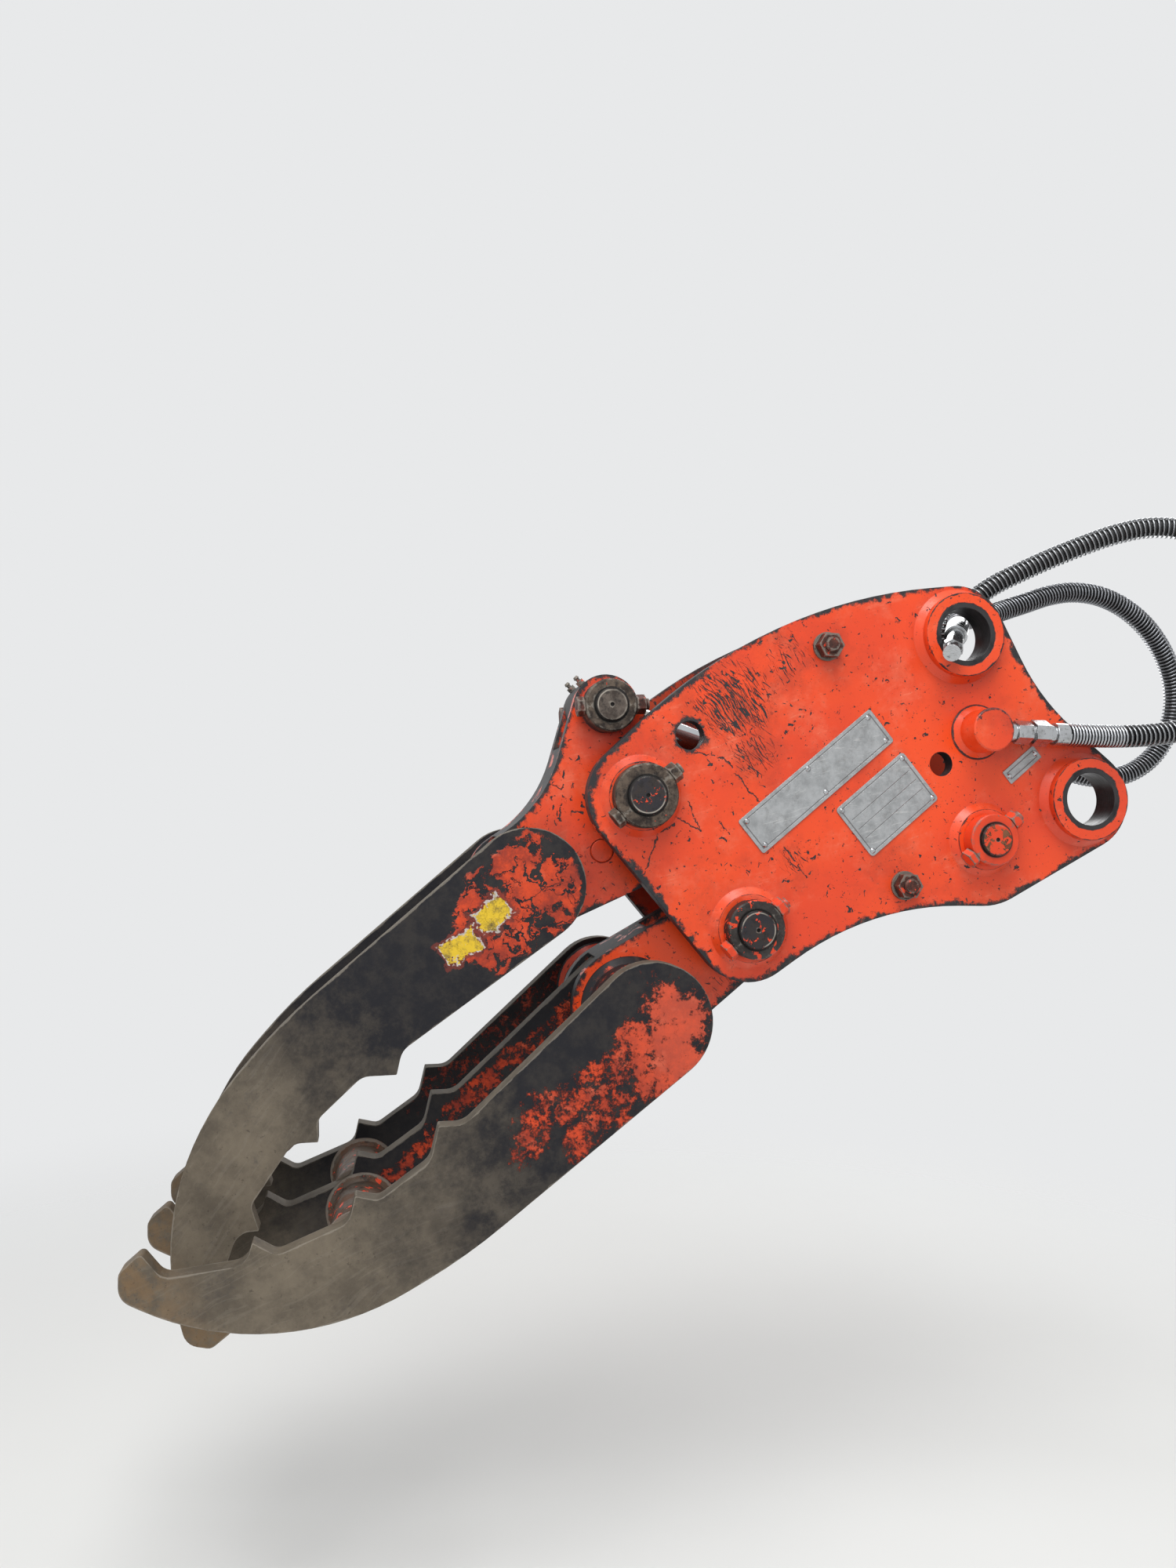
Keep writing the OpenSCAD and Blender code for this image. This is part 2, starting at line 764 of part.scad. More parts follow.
module upper_tine_near() {
    tine(upper_root, upper_tine_deg, 1, -upper_w / 2);
}

module upper_tine_far() {
    tine(upper_root, upper_tine_deg, 1, upper_w / 2 - tine_t);
}

module upper_rear_tube() {
    color(paint) {
        both_sides() cross_tube(upper_root, rear_tube_d / 2, -upper_w / 2 + tine_t, -arm_out);
        cross_tube(upper_root, rear_tube_d / 2, -arm_in, arm_in);
    }
}

module upper_front_tube() {
    at = front_tube_at(upper_root, upper_tine_deg, 1);
    color(paint) cross_tube(at, front_tube_d / 2, -upper_w / 2 + tine_t, upper_w / 2 - tine_t);
}

// Pressed bushes in an arm's hub
module hub_bushes(pivot) {
    color(steel) both_sides() difference() {
        bar(pivot, jaw_pin_r + hub_bush_wall, -inner_y + side_play, -arm_in);
        bar(pivot, jaw_pin_r + fit, -inner_y, 0);
    }
}

module upper_pivot_bushes() {
    hub_bushes(upper_pivot);
}

module rod_pin() {
    cross_pin(rod_pivot, cyl_pin_r, lug_face, rod_lock_deg);
}

// Sleeve on the rod pin between the lugs
module rod_pin_sleeve() {
    color(steel) difference() {
        bar(rod_pivot, cyl_pin_r + rod_bush_wall, -arm_in, arm_in);
        bar(rod_pivot, cyl_pin_r + fit, -arm_in - cut, arm_in + cut);
    }
}

module rod_pin_collars() {
    collars(rod_pivot, cyl_pin_r, collar_wall, lug_face, rod_lock_deg);
}

module rod_pin_lock_bolts() {
    lock_bolts(rod_pivot, cyl_pin_r, collar_wall, lug_face, rod_lock_deg);
}

module upper_link_pin() {
    color(steel) turned_bar(upper_link_pivot, link_pin_d / 2, -arm_out, arm_out);
}

// Nipples that grease the rod pin, in the edges of its lugs
module grease_nipples() {
    color(zinc) both_sides() translate([rod_pivot.x, -arm_in - arm_t / 2, rod_pivot.y])
        rotate([0, 90 - nipple_deg, 0]) translate([0, 0, eye_r]) rotate_extrude() polygon([
            [0, 0], [nipple_hex / 2, 0], [nipple_hex / 2, nipple_h], [nipple_neck_d / 2, nipple_h],
            [nipple_neck_d / 2, 1.5 * nipple_h], [nipple_head_d / 2, 1.7 * nipple_h],
            [nipple_neck_d / 2, 2.2 * nipple_h], [0, 2.2 * nipple_h]
        ]);
}

module lower_arm_plates() {
    color(paint) both_sides() arm_plate(lower_arm, lower_pivot, lower_link_pivot);
}

// Strip between the arm's plates along their upper edge, clear of the middle tine's root
module lower_arm_cover() {
    line = lower_heel - lower_root;
    along = cover_share * line;
    side = lower_root_arm_r * unit([-line.y, line.x]);
    corner = lower_root + along + side;
    color(paint) intersection() {
        difference() {
            plate(belt(lower_arm), -arm_in, arm_in);
            plate(belt(inset(lower_arm, cover_t)), -arm_in - cut, arm_in + cut);
            bar(lower_root, root_r + touch, -arm_in - cut, arm_in + cut);
        }
        plate([lower_root, lower_root + along, corner, corner - along], -arm_in, arm_in);
    }
}

module lower_tine_near() {
    tine(lower_root, lower_tine_deg, -1, -lower_w / 2);
}

module lower_tine_mid() {
    tine(lower_root, lower_tine_deg, -1, -tine_t / 2);
}

module lower_tine_far() {
    tine(lower_root, lower_tine_deg, -1, lower_w / 2 - tine_t);
}

module lower_rear_tube() {
    color(paint) both_sides() {
        cross_tube(lower_root, rear_tube_d / 2, -lower_w / 2 + tine_t, -arm_out);
        cross_tube(lower_root, rear_tube_d / 2, -arm_in, -tine_t / 2);
    }
}

module lower_front_tube() {
    at = front_tube_at(lower_root, lower_tine_deg, -1);
    color(paint) both_sides() cross_tube(at, front_tube_d / 2, -lower_w / 2 + tine_t, -tine_t / 2);
}

module lower_pivot_bushes() {
    hub_bushes(lower_pivot);
}

// Pin with a thick middle that the tie link's wide eye goes round
module lower_link_pin() {
    color(steel) {
        turned_bar(lower_link_pivot, link_pin_d / 2, -arm_out, arm_out);
        bar(lower_link_pivot, link_sleeve_r, -arm_in, arm_in);
    }
}

// Bar between the two jaws, with a close eye on the upper one and a wide eye on the lower one
module tie_link() {
    bar_line = [[upper_link_pivot, link_half], [lower_link_pivot, link_half]];
    color(worn) difference() {
        union() {
            plate(belt(bar_line), -link_t / 2, link_t / 2);
            bar(upper_link_pivot, link_eye_r, -link_t / 2, link_t / 2);
            bar(lower_link_pivot, link_free_eye_r, -link_t / 2, link_t / 2);
        }
        bar(upper_link_pivot, link_pin_d / 2 + link_bush_wall, -link_t, link_t);
        bar(lower_link_pivot, link_free_r, -link_t, link_t);
    }
}

module tie_link_bush() {
    color(steel) difference() {
        bar(upper_link_pivot, link_pin_d / 2 + link_bush_wall, -link_t / 2, link_t / 2);
        bar(upper_link_pivot, link_pin_d / 2 + fit, -link_t, link_t);
    }
}

// The cylinder's line: its pieces are drawn up Z from the base pin
module on_cylinder() {
    translate([base_pivot.x, 0, base_pivot.y]) rotate([0, 90 - cyl_deg, 0]) children();
}

module cylinder_barrel() {
    foot = base_boss_r + side_play;
    color(black) difference() {
        union() {
            bar(base_pivot, base_eye_r, -base_eye_w / 2, base_eye_w / 2);
            on_cylinder() {
                translate([0, 0, foot]) cylinder(d = barrel_d, h = barrel_len - foot - gland_lip);
                for (z = port_block_places)
                    translate([0, -port_block_w / 2, z - port_block_l / 2])
                        cube([barrel_d / 2 + port_block_h, port_block_w, port_block_l]);
            }
        }
        bar(base_pivot, cyl_pin_r + hub_bush_wall, -base_eye_w, base_eye_w);
        on_cylinder() {
            translate([0, 0, base_eye_r + barrel_end_wall]) cylinder(d = bore_d, h = barrel_len);
            for (z = port_block_places)
                translate([0, 0, z]) rotate([0, 90, 0]) cylinder(d = oil_d, h = barrel_d);
        }
    }
}

module cylinder_base_bush() {
    color(steel) difference() {
        bar(base_pivot, cyl_pin_r + hub_bush_wall, -base_eye_w / 2, base_eye_w / 2);
        bar(base_pivot, cyl_pin_r + fit, -base_eye_w, base_eye_w);
    }
}

// Gland screwed into the barrel's mouth, with a lip that seats on its end and a seat for the wiper
module cylinder_gland() {
    lip = barrel_len - gland_lip;
    inner = barrel_len - gland_len;
    color(steel) on_cylinder() difference() {
        union() {
            translate([0, 0, inner]) cylinder(r = bore_d / 2 - fit, h = gland_len);
            translate([0, 0, lip]) cylinder(d = barrel_d + gland_lip, h = gland_lip);
        }
        translate([0, 0, inner - cut]) cylinder(r = rod_d / 2 + fit, h = gland_len + 2 * cut);
        translate([0, 0, barrel_len - wiper_t]) cylinder(r = rod_d / 2 + wiper_wall, h = wiper_t + cut);
    }
}

module rod_wiper() {
    color(black) on_cylinder() translate([0, 0, barrel_len - wiper_t]) difference() {
        cylinder(r = rod_d / 2 + wiper_wall, h = wiper_t);
        translate([0, 0, -cut]) cylinder(r = rod_d / 2 + fit, h = wiper_t + 2 * cut);
    }
}

piston_top = barrel_len - gland_len - piston_seat;

module piston() {
    color(steel) on_cylinder() translate([0, 0, piston_top - piston_t]) difference() {
        cylinder(r = bore_d / 2 - fit, h = piston_t);
        translate([0, 0, -cut]) cylinder(r = rod_d / 2, h = piston_t + 2 * cut);
    }
}

// Rod with its nut inside the barrel and its welded eye; the eye is wide of the sleeve on the rod pin
module piston_rod() {
    foot = piston_top - piston_t;
    color(zinc) difference() {
        union() {
            on_cylinder() {
                translate([0, 0, foot]) cylinder(d = rod_d, h = cyl_len - eye_r + eye_overlap - foot);
                translate([0, 0, foot - rod_nut_t]) cylinder(d = rod_nut_d, h = rod_nut_t);
            }
            bar(rod_pivot, eye_r, -link_t / 2, link_t / 2);
        }
        bar(rod_pivot, cyl_pin_r + rod_bush_wall + rod_eye_play, -link_t, link_t);
    }
}

module near_hose() {
    color(black) tube_along(smooth(near_route, hose_steps), hose_d / 2, hose_sides);
}

// Open helix of wire round the near hose, tightly wound at the fitting
near_path = smooth(near_route, hose_steps);
near_run = run(near_path);
near_heads = headings(near_path);
near_sides = sideways(near_heads);
guard_r = guard_d / 2 - guard_wire_r;
guard_len = near_run[len(near_run) - 1] - 2 * guard_inset;
open_pitch = (guard_len - guard_tight * guard_tight_pitch) / guard_open;
guard_steps = curl_steps * (guard_tight + guard_open);
function guard_at(i) =
    let (
        curl = i / curl_steps,
        tight = min(curl, guard_tight),
        s = guard_inset + guard_tight_pitch * tight + open_pitch * (curl - tight),
        t = unit(between(s, near_run, near_heads)),
        n = square_to(between(s, near_run, near_sides), t)
    )
    between(s, near_run, near_path) + guard_r * (cos(360 * curl) * n + sin(360 * curl) * cross(t, n));
guard_path = [for (i = [0:guard_steps]) guard_at(i)];
guard_gap = min([
    for (i = [0:guard_steps - curl_steps / 2], k = [curl_steps / 2:curl_steps + 2])
        if (i + k <= guard_steps) norm(guard_path[i + k] - guard_path[i])
]) - 2 * guard_wire_r;
echo(least_guard_gap = guard_gap);

module near_hose_guard() {
    color(zinc) tube_along(guard_path, guard_wire_r, wire_sides);
}

// The frame at the end of a route, with Z along the hose's last stretch
module at_end(route) {
    p = route[len(route) - 1];
    d = unit(p - smooth(route, hose_steps)[(len(route) - 1) * hose_steps - 1]);
    translate(p) rotate([0, acos(d.z), atan2(d.y, d.x)]) children();
}

// Crimped ferrule, stem and the hexagon of a hose's free end
module hose_end(route, stem) {
    color(zinc) at_end(route) {
        difference() {
            cylinder(d = ferrule_d, h = ferrule_len);
            for (z = ferrule_groove_places) translate([0, 0, z]) difference() {
                cylinder(d = ferrule_d + cut, h = ferrule_groove_w);
                cylinder(r = ferrule_d / 2 - ferrule_groove, h = ferrule_groove_w);
            }
        }
        translate([0, 0, ferrule_len]) cylinder(d = stem_d, h = stem);
    }
}

// Blanking plug on a hose's free end
module hose_plug(route, stem) {
    color(zinc) at_end(route) translate([0, 0, ferrule_len + stem]) {
        hex(plug_hex, plug_hex_t);
        cylinder(d = plug_d, h = plug_hex_t + plug_len);
    }
}

module near_hose_end() {
    hose_end(near_route, near_stem);
}

module near_hose_plug() {
    hose_plug(near_route, near_stem);
}

module far_hose() {
    color(black) tube_along(smooth(far_route, hose_steps), guard_d / 2, hose_sides);
}

module far_hose_end() {
    hose_end(far_route, far_stem);
}

module far_hose_plug() {
    hose_plug(far_route, far_stem);
}

side_plate_near();
side_plate_far();
link_pin_bushes();
arm_pin_bushes();
upper_pivot_pin();
upper_pivot_collars();
upper_pivot_lock_bolts();
lower_pivot_pin();
lower_pivot_collars();
lower_pivot_lock_bolts();
base_pin();
base_pin_collars();
base_pin_lock_bolts();
tie_bolts();
spacer_tubes();
port_bosses();
hose_adapters();
inner_fittings();
name_plate();
rating_plate();
label_plate();
plate_rivets();
upper_arm_plates();
upper_arm_cover();
upper_tine_near();
upper_tine_far();
upper_rear_tube();
upper_front_tube();
upper_pivot_bushes();
rod_pin();
rod_pin_sleeve();
rod_pin_collars();
rod_pin_lock_bolts();
upper_link_pin();
grease_nipples();
lower_arm_plates();
lower_arm_cover();
lower_tine_near();
lower_tine_mid();
lower_tine_far();
lower_rear_tube();
lower_front_tube();
lower_pivot_bushes();
lower_link_pin();
tie_link();
tie_link_bush();
cylinder_barrel();
cylinder_base_bush();
cylinder_gland();
rod_wiper();
piston();
piston_rod();
near_hose();
near_hose_guard();
near_hose_end();
near_hose_plug();
far_hose();
far_hose_end();
far_hose_plug();
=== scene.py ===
# A demolition grapple for a small excavator: two toothed jaws of thick plate, pinned between two
# painted side plates, with a cylinder between them and two whip hoses at the machine's end.

import math

import bpy
from mathutils import Matrix, Vector


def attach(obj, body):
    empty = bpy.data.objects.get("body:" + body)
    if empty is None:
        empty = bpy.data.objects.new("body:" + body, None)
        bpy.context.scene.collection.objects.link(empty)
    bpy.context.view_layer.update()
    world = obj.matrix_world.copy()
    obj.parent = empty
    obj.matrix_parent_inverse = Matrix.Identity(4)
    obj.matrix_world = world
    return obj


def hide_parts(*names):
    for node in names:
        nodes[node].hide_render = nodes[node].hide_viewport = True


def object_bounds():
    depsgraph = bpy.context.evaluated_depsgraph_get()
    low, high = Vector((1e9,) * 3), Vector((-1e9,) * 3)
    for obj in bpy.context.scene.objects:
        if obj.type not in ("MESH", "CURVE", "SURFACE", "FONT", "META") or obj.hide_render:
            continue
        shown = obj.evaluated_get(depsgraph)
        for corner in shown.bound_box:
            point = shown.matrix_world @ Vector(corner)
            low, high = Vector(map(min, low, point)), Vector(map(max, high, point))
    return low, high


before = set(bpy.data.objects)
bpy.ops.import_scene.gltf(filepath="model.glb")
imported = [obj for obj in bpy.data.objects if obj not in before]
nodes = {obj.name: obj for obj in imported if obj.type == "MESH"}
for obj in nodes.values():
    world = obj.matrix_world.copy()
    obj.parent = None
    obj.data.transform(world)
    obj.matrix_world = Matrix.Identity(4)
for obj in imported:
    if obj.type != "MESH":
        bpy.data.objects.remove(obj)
cad_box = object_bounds()
bpy.ops.object.select_all(action="DESELECT")


# The view: a wide lens at the height of the pins, from the near side and a little to the left.
camera_place = Vector((-0.76003, -1.20238, -0.05726))
camera_right = Vector((0.98207, -0.18618, 0.02953))
camera_up = Vector((-0.03773, -0.04062, 0.99846))
camera_ahead = Vector((0.18469, 0.98168, 0.04692))

camera = bpy.data.objects.new("camera", bpy.data.cameras.new("camera"))
bpy.context.scene.collection.objects.link(camera)
camera.matrix_world = Matrix.Translation(camera_place) @ Matrix(
    (camera_right, camera_up, -camera_ahead)
).transposed().to_4x4()
camera.data.lens = 26.1
camera.data.clip_start = 0.02
bpy.context.scene.camera = camera


# Two whip hoses of black rubber, 19 mm outside, each in a coil of steel wire that guards it.
# Each leaves a port boss, loops back over the bores and ends between the side plates in a crimped
# ferrule with a blanking plug. The near one's wire is wound tight at the fitting and open after it.
hose_r = 0.0095
hose_exit_x = -0.0328
near_route = [
    (hose_exit_x, -0.101, 0.068), (-0.005, -0.101, 0.068), (0.030, -0.101, 0.069),
    (0.066, -0.101, 0.072), (0.102, -0.101, 0.078), (0.138, -0.101, 0.087),
    (0.173, -0.100, 0.101), (0.205, -0.097, 0.121), (0.232, -0.092, 0.148),
    (0.250, -0.085, 0.181), (0.257, -0.076, 0.217), (0.251, -0.065, 0.253),
    (0.233, -0.052, 0.285), (0.206, -0.039, 0.310), (0.172, -0.026, 0.326),
    (0.135, -0.013, 0.330), (0.097, -0.002, 0.322), (0.060, 0.009, 0.308),
    (0.024, 0.020, 0.292), (-0.010, 0.029, 0.275), (-0.042, 0.037, 0.257),
    (-0.069, 0.043, 0.234), (-0.088, 0.047, 0.205), (-0.095, 0.048, 0.172),
]
far_route = [
    (hose_exit_x, 0.101, 0.068), (-0.005, 0.101, 0.068), (0.025, 0.101, 0.065),
    (0.060, 0.101, 0.057), (0.095, 0.101, 0.047), (0.130, 0.101, 0.039),
    (0.165, 0.101, 0.039), (0.198, 0.101, 0.049), (0.226, 0.099, 0.071),
    (0.243, 0.095, 0.103), (0.246, 0.089, 0.138), (0.236, 0.081, 0.172),
    (0.215, 0.073, 0.203), (0.186, 0.066, 0.230), (0.152, 0.061, 0.250),
    (0.115, 0.057, 0.261), (0.077, 0.053, 0.262), (0.040, 0.047, 0.254),
    (0.005, 0.040, 0.241), (-0.030, 0.033, 0.228), (-0.059, 0.022, 0.217),
    (-0.083, 0.005, 0.211), (-0.116, -0.027, 0.200), (-0.133, -0.052, 0.187),
]
route_steps = 8
wire_outside_r = 0.0126
near_wire_r = 0.0013
far_wire_r = 0.00115
tight_stretch = 0.066
tight_pitch = 0.0037
open_pitch = 0.0056
far_pitch = 0.0048
curl_steps = 14
hose_sides, wire_sides = 16, 6


def smooth_route(route):
    """The points of a smooth curve through the route."""
    points = []
    given = [Vector(p) for p in route]
    for i in range(len(given) - 1):
        b, c = given[i], given[i + 1]
        a = given[i - 1] if i else 2 * b - c
        d = given[i + 2] if i < len(given) - 2 else 2 * c - b
        for k in range(route_steps):
            t = k / route_steps
            cubic = (3 * b - a - 3 * c + d) * t**3
            points.append((2 * b + (c - a) * t + (2 * a - 5 * b + 4 * c - d) * t**2 + cubic) / 2)
    return points + [given[-1]]


def near_pitch(run):
    """The distance from one curl of the near wire to the next, at a distance along the hose."""
    return tight_pitch if run < tight_stretch else open_pitch


def wound(points, radius, pitch_at):
    """A helix round a path. pitch_at gives the distance from one curl to the next along it."""
    heads = [
        (points[min(i + 1, len(points) - 1)] - points[max(i - 1, 0)]).normalized()
        for i in range(len(points))
    ]
    side = heads[0].cross(Vector((0, 0, 1))).normalized()
    helix = []
    turn = since = run = 0.0
    for i in range(len(points) - 1):
        span = (points[i + 1] - points[i]).length
        while since < span:
            share = since / span
            head = heads[i].lerp(heads[i + 1], share).normalized()
            side = (side - side.dot(head) * head).normalized()
            around = math.cos(turn) * side + math.sin(turn) * head.cross(side)
            helix.append(points[i].lerp(points[i + 1], share) + radius * around)
            turn += 2 * math.pi / curl_steps
            since += pitch_at(run + since) / curl_steps
        since -= span
        run += span
    return helix


def round_bar(name, points, radius, sides):
    """A curve of one open spline with a round section."""
    curve = bpy.data.curves.new(name, "CURVE")
    curve.dimensions = "3D"
    curve.bevel_depth = radius
    curve.bevel_resolution = (sides - 4) // 2
    curve.use_fill_caps = True
    spline = curve.splines.new("POLY")
    spline.points.add(len(points) - 1)
    for place, p in zip(spline.points, points):
        place.co = (*p, 1)
    piece = bpy.data.objects.new(name, curve)
    bpy.context.scene.collection.objects.link(piece)
    return piece


def put(tree, kind, inputs=None, **settings):
    """A shader node with its settings. An input is given a value or another node's socket."""
    made = tree.nodes.new("ShaderNode" + kind)
    for key, value in settings.items():
        setattr(made, key, value)
    for key, value in (inputs or {}).items():
        if isinstance(value, bpy.types.NodeSocket):
            tree.links.new(value, made.inputs[key])
        else:
            made.inputs[key].default_value = value
    return made


def calc(tree, operation, *values):
    """The result of a Math node."""
    return put(tree, "Math", dict(enumerate(values)), operation=operation).outputs[0]


def product(tree, *values):
    """The product of several values."""
    found = values[0]
    for value in values[1:]:
        found = calc(tree, "MULTIPLY", found, value)
    return found


def vec(tree, operation, *values):
    """The result of a Vector Math node: a value for a distance or a dot product, or else a vector."""
    made = put(tree, "VectorMath", dict(enumerate(values)), operation=operation)
    return made.outputs["Value" if operation in ("DISTANCE", "DOT_PRODUCT") else "Vector"]


def fade(tree, value, low, high, to_low=0.0, to_high=1.0):
    """A smooth step from to_low to to_high as value goes from low to high."""
    return put(
        tree, "MapRange",
        {"Value": value, "From Min": low, "From Max": high, "To Min": to_low, "To Max": to_high},
        interpolation_type="SMOOTHSTEP",
    ).outputs[0]


def fade_out(tree, value, low, high):
    """A smooth step from 1 to 0 as value goes from low to high."""
    return fade(tree, value, low, high, 1.0, 0.0)


def noise(tree, place, scale, detail=3.0, roughness=0.5, distortion=0.0):
    """The value of a noise texture, about 0.5 in the mean."""
    inputs = {
        "Vector": place, "Scale": scale, "Detail": detail, "Roughness": roughness, "Distortion": distortion
    }
    return put(tree, "TexNoise", inputs).outputs["Fac"]


def blotches(tree, place, scale, detail, roughness, low, high):
    """Soft blotches: 1 where a noise is above high and 0 where it is below low."""
    return fade(tree, noise(tree, place, scale, detail, roughness), low, high)


def rgb(red, green, blue):
    """A colour from its screen values, 0 to 255."""
    linear = [((c / 255 + 0.055) / 1.055) ** 2.4 if c > 10 else c / 255 / 12.92 for c in (red, green, blue)]
    return (*linear, 1)


def cover(tree, below, above, *shares):
    """One colour over another, by a share from 0 to 1 or by the product of several."""
    return put(
        tree, "Mix", {"Factor": product(tree, *shares), "A": below, "B": above}, data_type="RGBA"
    ).outputs["Result"]


def new_material(name):
    """An empty material, its node tree and the object coordinates in it."""
    made = bpy.data.materials.new(name)
    made.use_nodes = True
    made.node_tree.nodes.clear()
    return made, made.node_tree, put(made.node_tree, "TexCoord").outputs["Object"]


def surface(tree, colour, roughness, metallic=0.0, height=None, relief=0.0005, rounded=0.0, **constants):
    """The surface shader and the material's output. Height is a value from 0 to 1, and edges look
    rounded to the given radius."""
    shader = put(tree, "BsdfPrincipled", {"Base Color": colour, "Roughness": roughness, "Metallic": metallic})
    for key, value in constants.items():
        shader.inputs[key.replace("_", " ").title().replace("Ior", "IOR")].default_value = value
    if height is not None:
        bump = put(tree, "Bump", {"Height": height, "Distance": relief})
        if rounded:
            soft = put(tree, "Bevel", {"Radius": rounded}, samples=4)
            tree.links.new(soft.outputs["Normal"], bump.inputs["Normal"])
        tree.links.new(bump.outputs["Normal"], shader.inputs["Normal"])
    tree.links.new(shader.outputs[0], put(tree, "OutputMaterial").inputs["Surface"])


def dress(piece, material):
    """The material in every slot of a piece."""
    if not piece.data.materials:
        piece.data.materials.append(material)
    for i in range(len(piece.data.materials)):
        piece.data.materials[i] = material


hose_rubber, tree, place = new_material("hose_rubber")
dust = blotches(tree, place, 60, 4, 0.5, 0.45, 0.7)
surface(
    tree, cover(tree, rgb(16, 17, 19), rgb(34, 34, 34), dust), fade(tree, dust, 0, 1, 0.42, 0.7),
    height=noise(tree, place, 900, 2), relief=0.0002,
)

# The far guard is dulled zinc. The near one is dark steel, and bright where it is wound tight.
guard_wire, tree, place = new_material("guard_wire")
dull = blotches(tree, place, 35, 4, 0.5, 0.42, 0.7)
surface(
    tree, cover(tree, rgb(138, 140, 144), rgb(120, 121, 124), dull), fade(tree, dull, 0, 1, 0.24, 0.32),
    metallic=1.0, height=noise(tree, place, 1500, 2), relief=0.0001,
)
black_wire, tree, place = new_material("black_guard_wire")
from_fitting = vec(tree, "DISTANCE", place, near_route[0])
at_fitting = fade_out(tree, from_fitting, tight_stretch, tight_stretch + 0.004)
surface(
    tree, cover(tree, rgb(138, 140, 142), rgb(182, 184, 187), at_fitting), 0.2, metallic=1.0,
    height=noise(tree, place, 1500, 2), relief=0.0001,
)

near_path = smooth_route(near_route)
far_path = smooth_route(far_route)
near_hose = round_bar("near_hose_cover", near_path, hose_r, hose_sides)
near_guard = round_bar(
    "near_hose_wire", wound(near_path, wire_outside_r - near_wire_r, near_pitch), near_wire_r, wire_sides
)
far_hose = round_bar("far_hose_cover", far_path, hose_r, hose_sides)
far_guard = round_bar(
    "far_hose_wire", wound(far_path, wire_outside_r - far_wire_r, lambda run: far_pitch), far_wire_r,
    wire_sides,
)
for piece in (near_hose, far_hose):
    dress(piece, hose_rubber)
dress(near_guard, black_wire)
dress(far_guard, guard_wire)
for piece in (near_hose, far_hose, near_guard, far_guard):
    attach(piece, "frame")
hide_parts("near_hose")
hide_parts("near_hose_guard")
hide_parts("far_hose")
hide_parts("far_hose")


# Adapters, swivel nuts, ferrules, blanking plugs and rivets: turned and hexagonal steel, zinc
# plated, with finger marks, and painted shade with a little dirt in the corners.
def new_group(name, inputs, outputs):
    """An empty group of shader nodes with named values in and out."""
    group = bpy.data.node_groups.new(name, "ShaderNodeTree")
    for socket, kind in inputs.items():
        group.interface.new_socket(socket, in_out="INPUT", socket_type="NodeSocket" + kind)
    for socket, kind in outputs.items():
        group.interface.new_socket(socket, in_out="OUTPUT", socket_type="NodeSocket" + kind)
    start, end = (group.nodes.new("NodeGroup" + side) for side in ("Input", "Output"))
    return group, start.outputs, end.inputs


def use(tree, group, **values):
    """The outputs of a group in a material, with its inputs set."""
    made = tree.nodes.new("ShaderNodeGroup")
    made.node_tree = group
    for key, value in values.items():
        if isinstance(value, bpy.types.NodeSocket):
            tree.links.new(value, made.inputs[key])
        else:
            made.inputs[key].default_value = value
    return made.outputs


# Outer edges, rubbed or knocked: 1 on an edge out to about a third of the width, ragged and uneven
edge_wear, given, gives = new_group(
    "edge_wear", {"Place": "Vector", "Width": "Float", "Grain": "Float"}, {"Mask": "Float"}
)
inside = put(
    edge_wear, "AmbientOcclusion", {"Distance": given["Width"]}, samples=14, inside=True, only_local=True
).outputs["AO"]
edge = calc(edge_wear, "SUBTRACT", 1.0, inside)
grain = noise(edge_wear, given["Place"], given["Grain"], 6, 0.65)
ragged = calc(edge_wear, "MULTIPLY_ADD", grain, 1.5, -0.75)
slow = calc(edge_wear, "MULTIPLY_ADD", noise(edge_wear, given["Place"], 16.0, 2), 0.9, -0.45)
uneven = calc(edge_wear, "ADD", edge, calc(edge_wear, "ADD", ragged, slow))
worn = product(edge_wear, fade(edge_wear, uneven, 0.27, 0.3), fade(edge_wear, edge, 0.03, 0.07))
edge_wear.links.new(worn, gives["Mask"])

# A mask for painted shade in the corners, found by ambient occlusion, and for thin dirt in patches on the
# open faces
shade_and_grime, given, gives = new_group(
    "shade_and_grime", {"Place": "Vector", "Reach": "Float", "Patches": "Float"}, {"Mask": "Float"}
)
open_sky = put(shade_and_grime, "AmbientOcclusion", {"Distance": given["Reach"]}, samples=6, only_local=True)
# The corners: painted shade where little open sky reaches
corner = fade_out(shade_and_grime, open_sky.outputs["AO"], 0.45, 0.98)
thin = product(shade_and_grime, blotches(shade_and_grime, given["Place"], given["Patches"], 6, 0.6, 0.5, 0.72), 0.45)
shade_and_grime.links.new(calc(shade_and_grime, "MAXIMUM", corner, thin), gives["Mask"])

zinc_plate, tree, place = new_material("zinc_plate")
shade_and_dirt = use(tree, shade_and_grime, Place=place, Reach=0.0015, Patches=60.0)["Mask"]
marks = blotches(tree, place, 240, 4, 0.7, 0.54, 0.7)
marked = cover(tree, rgb(186, 188, 190), rgb(130, 130, 129), marks)
# Painted shade with a little dirt darkens the corners
surface(
    tree, cover(tree, marked, rgb(62, 57, 50), shade_and_dirt, 0.8),
    fade(tree, calc(tree, "ADD", marks, shade_and_dirt), 0, 1.4, 0.16, 0.46), metallic=0.95,
    height=noise(tree, place, 800, 3), relief=0.0001, rounded=0.0006,
)
for name in (
    "hose_adapters", "inner_fittings", "near_hose_end", "near_hose_plug", "far_hose_end", "far_hose_plug",
    "plate_rivets",
):
    dress(nodes[name], zinc_plate)


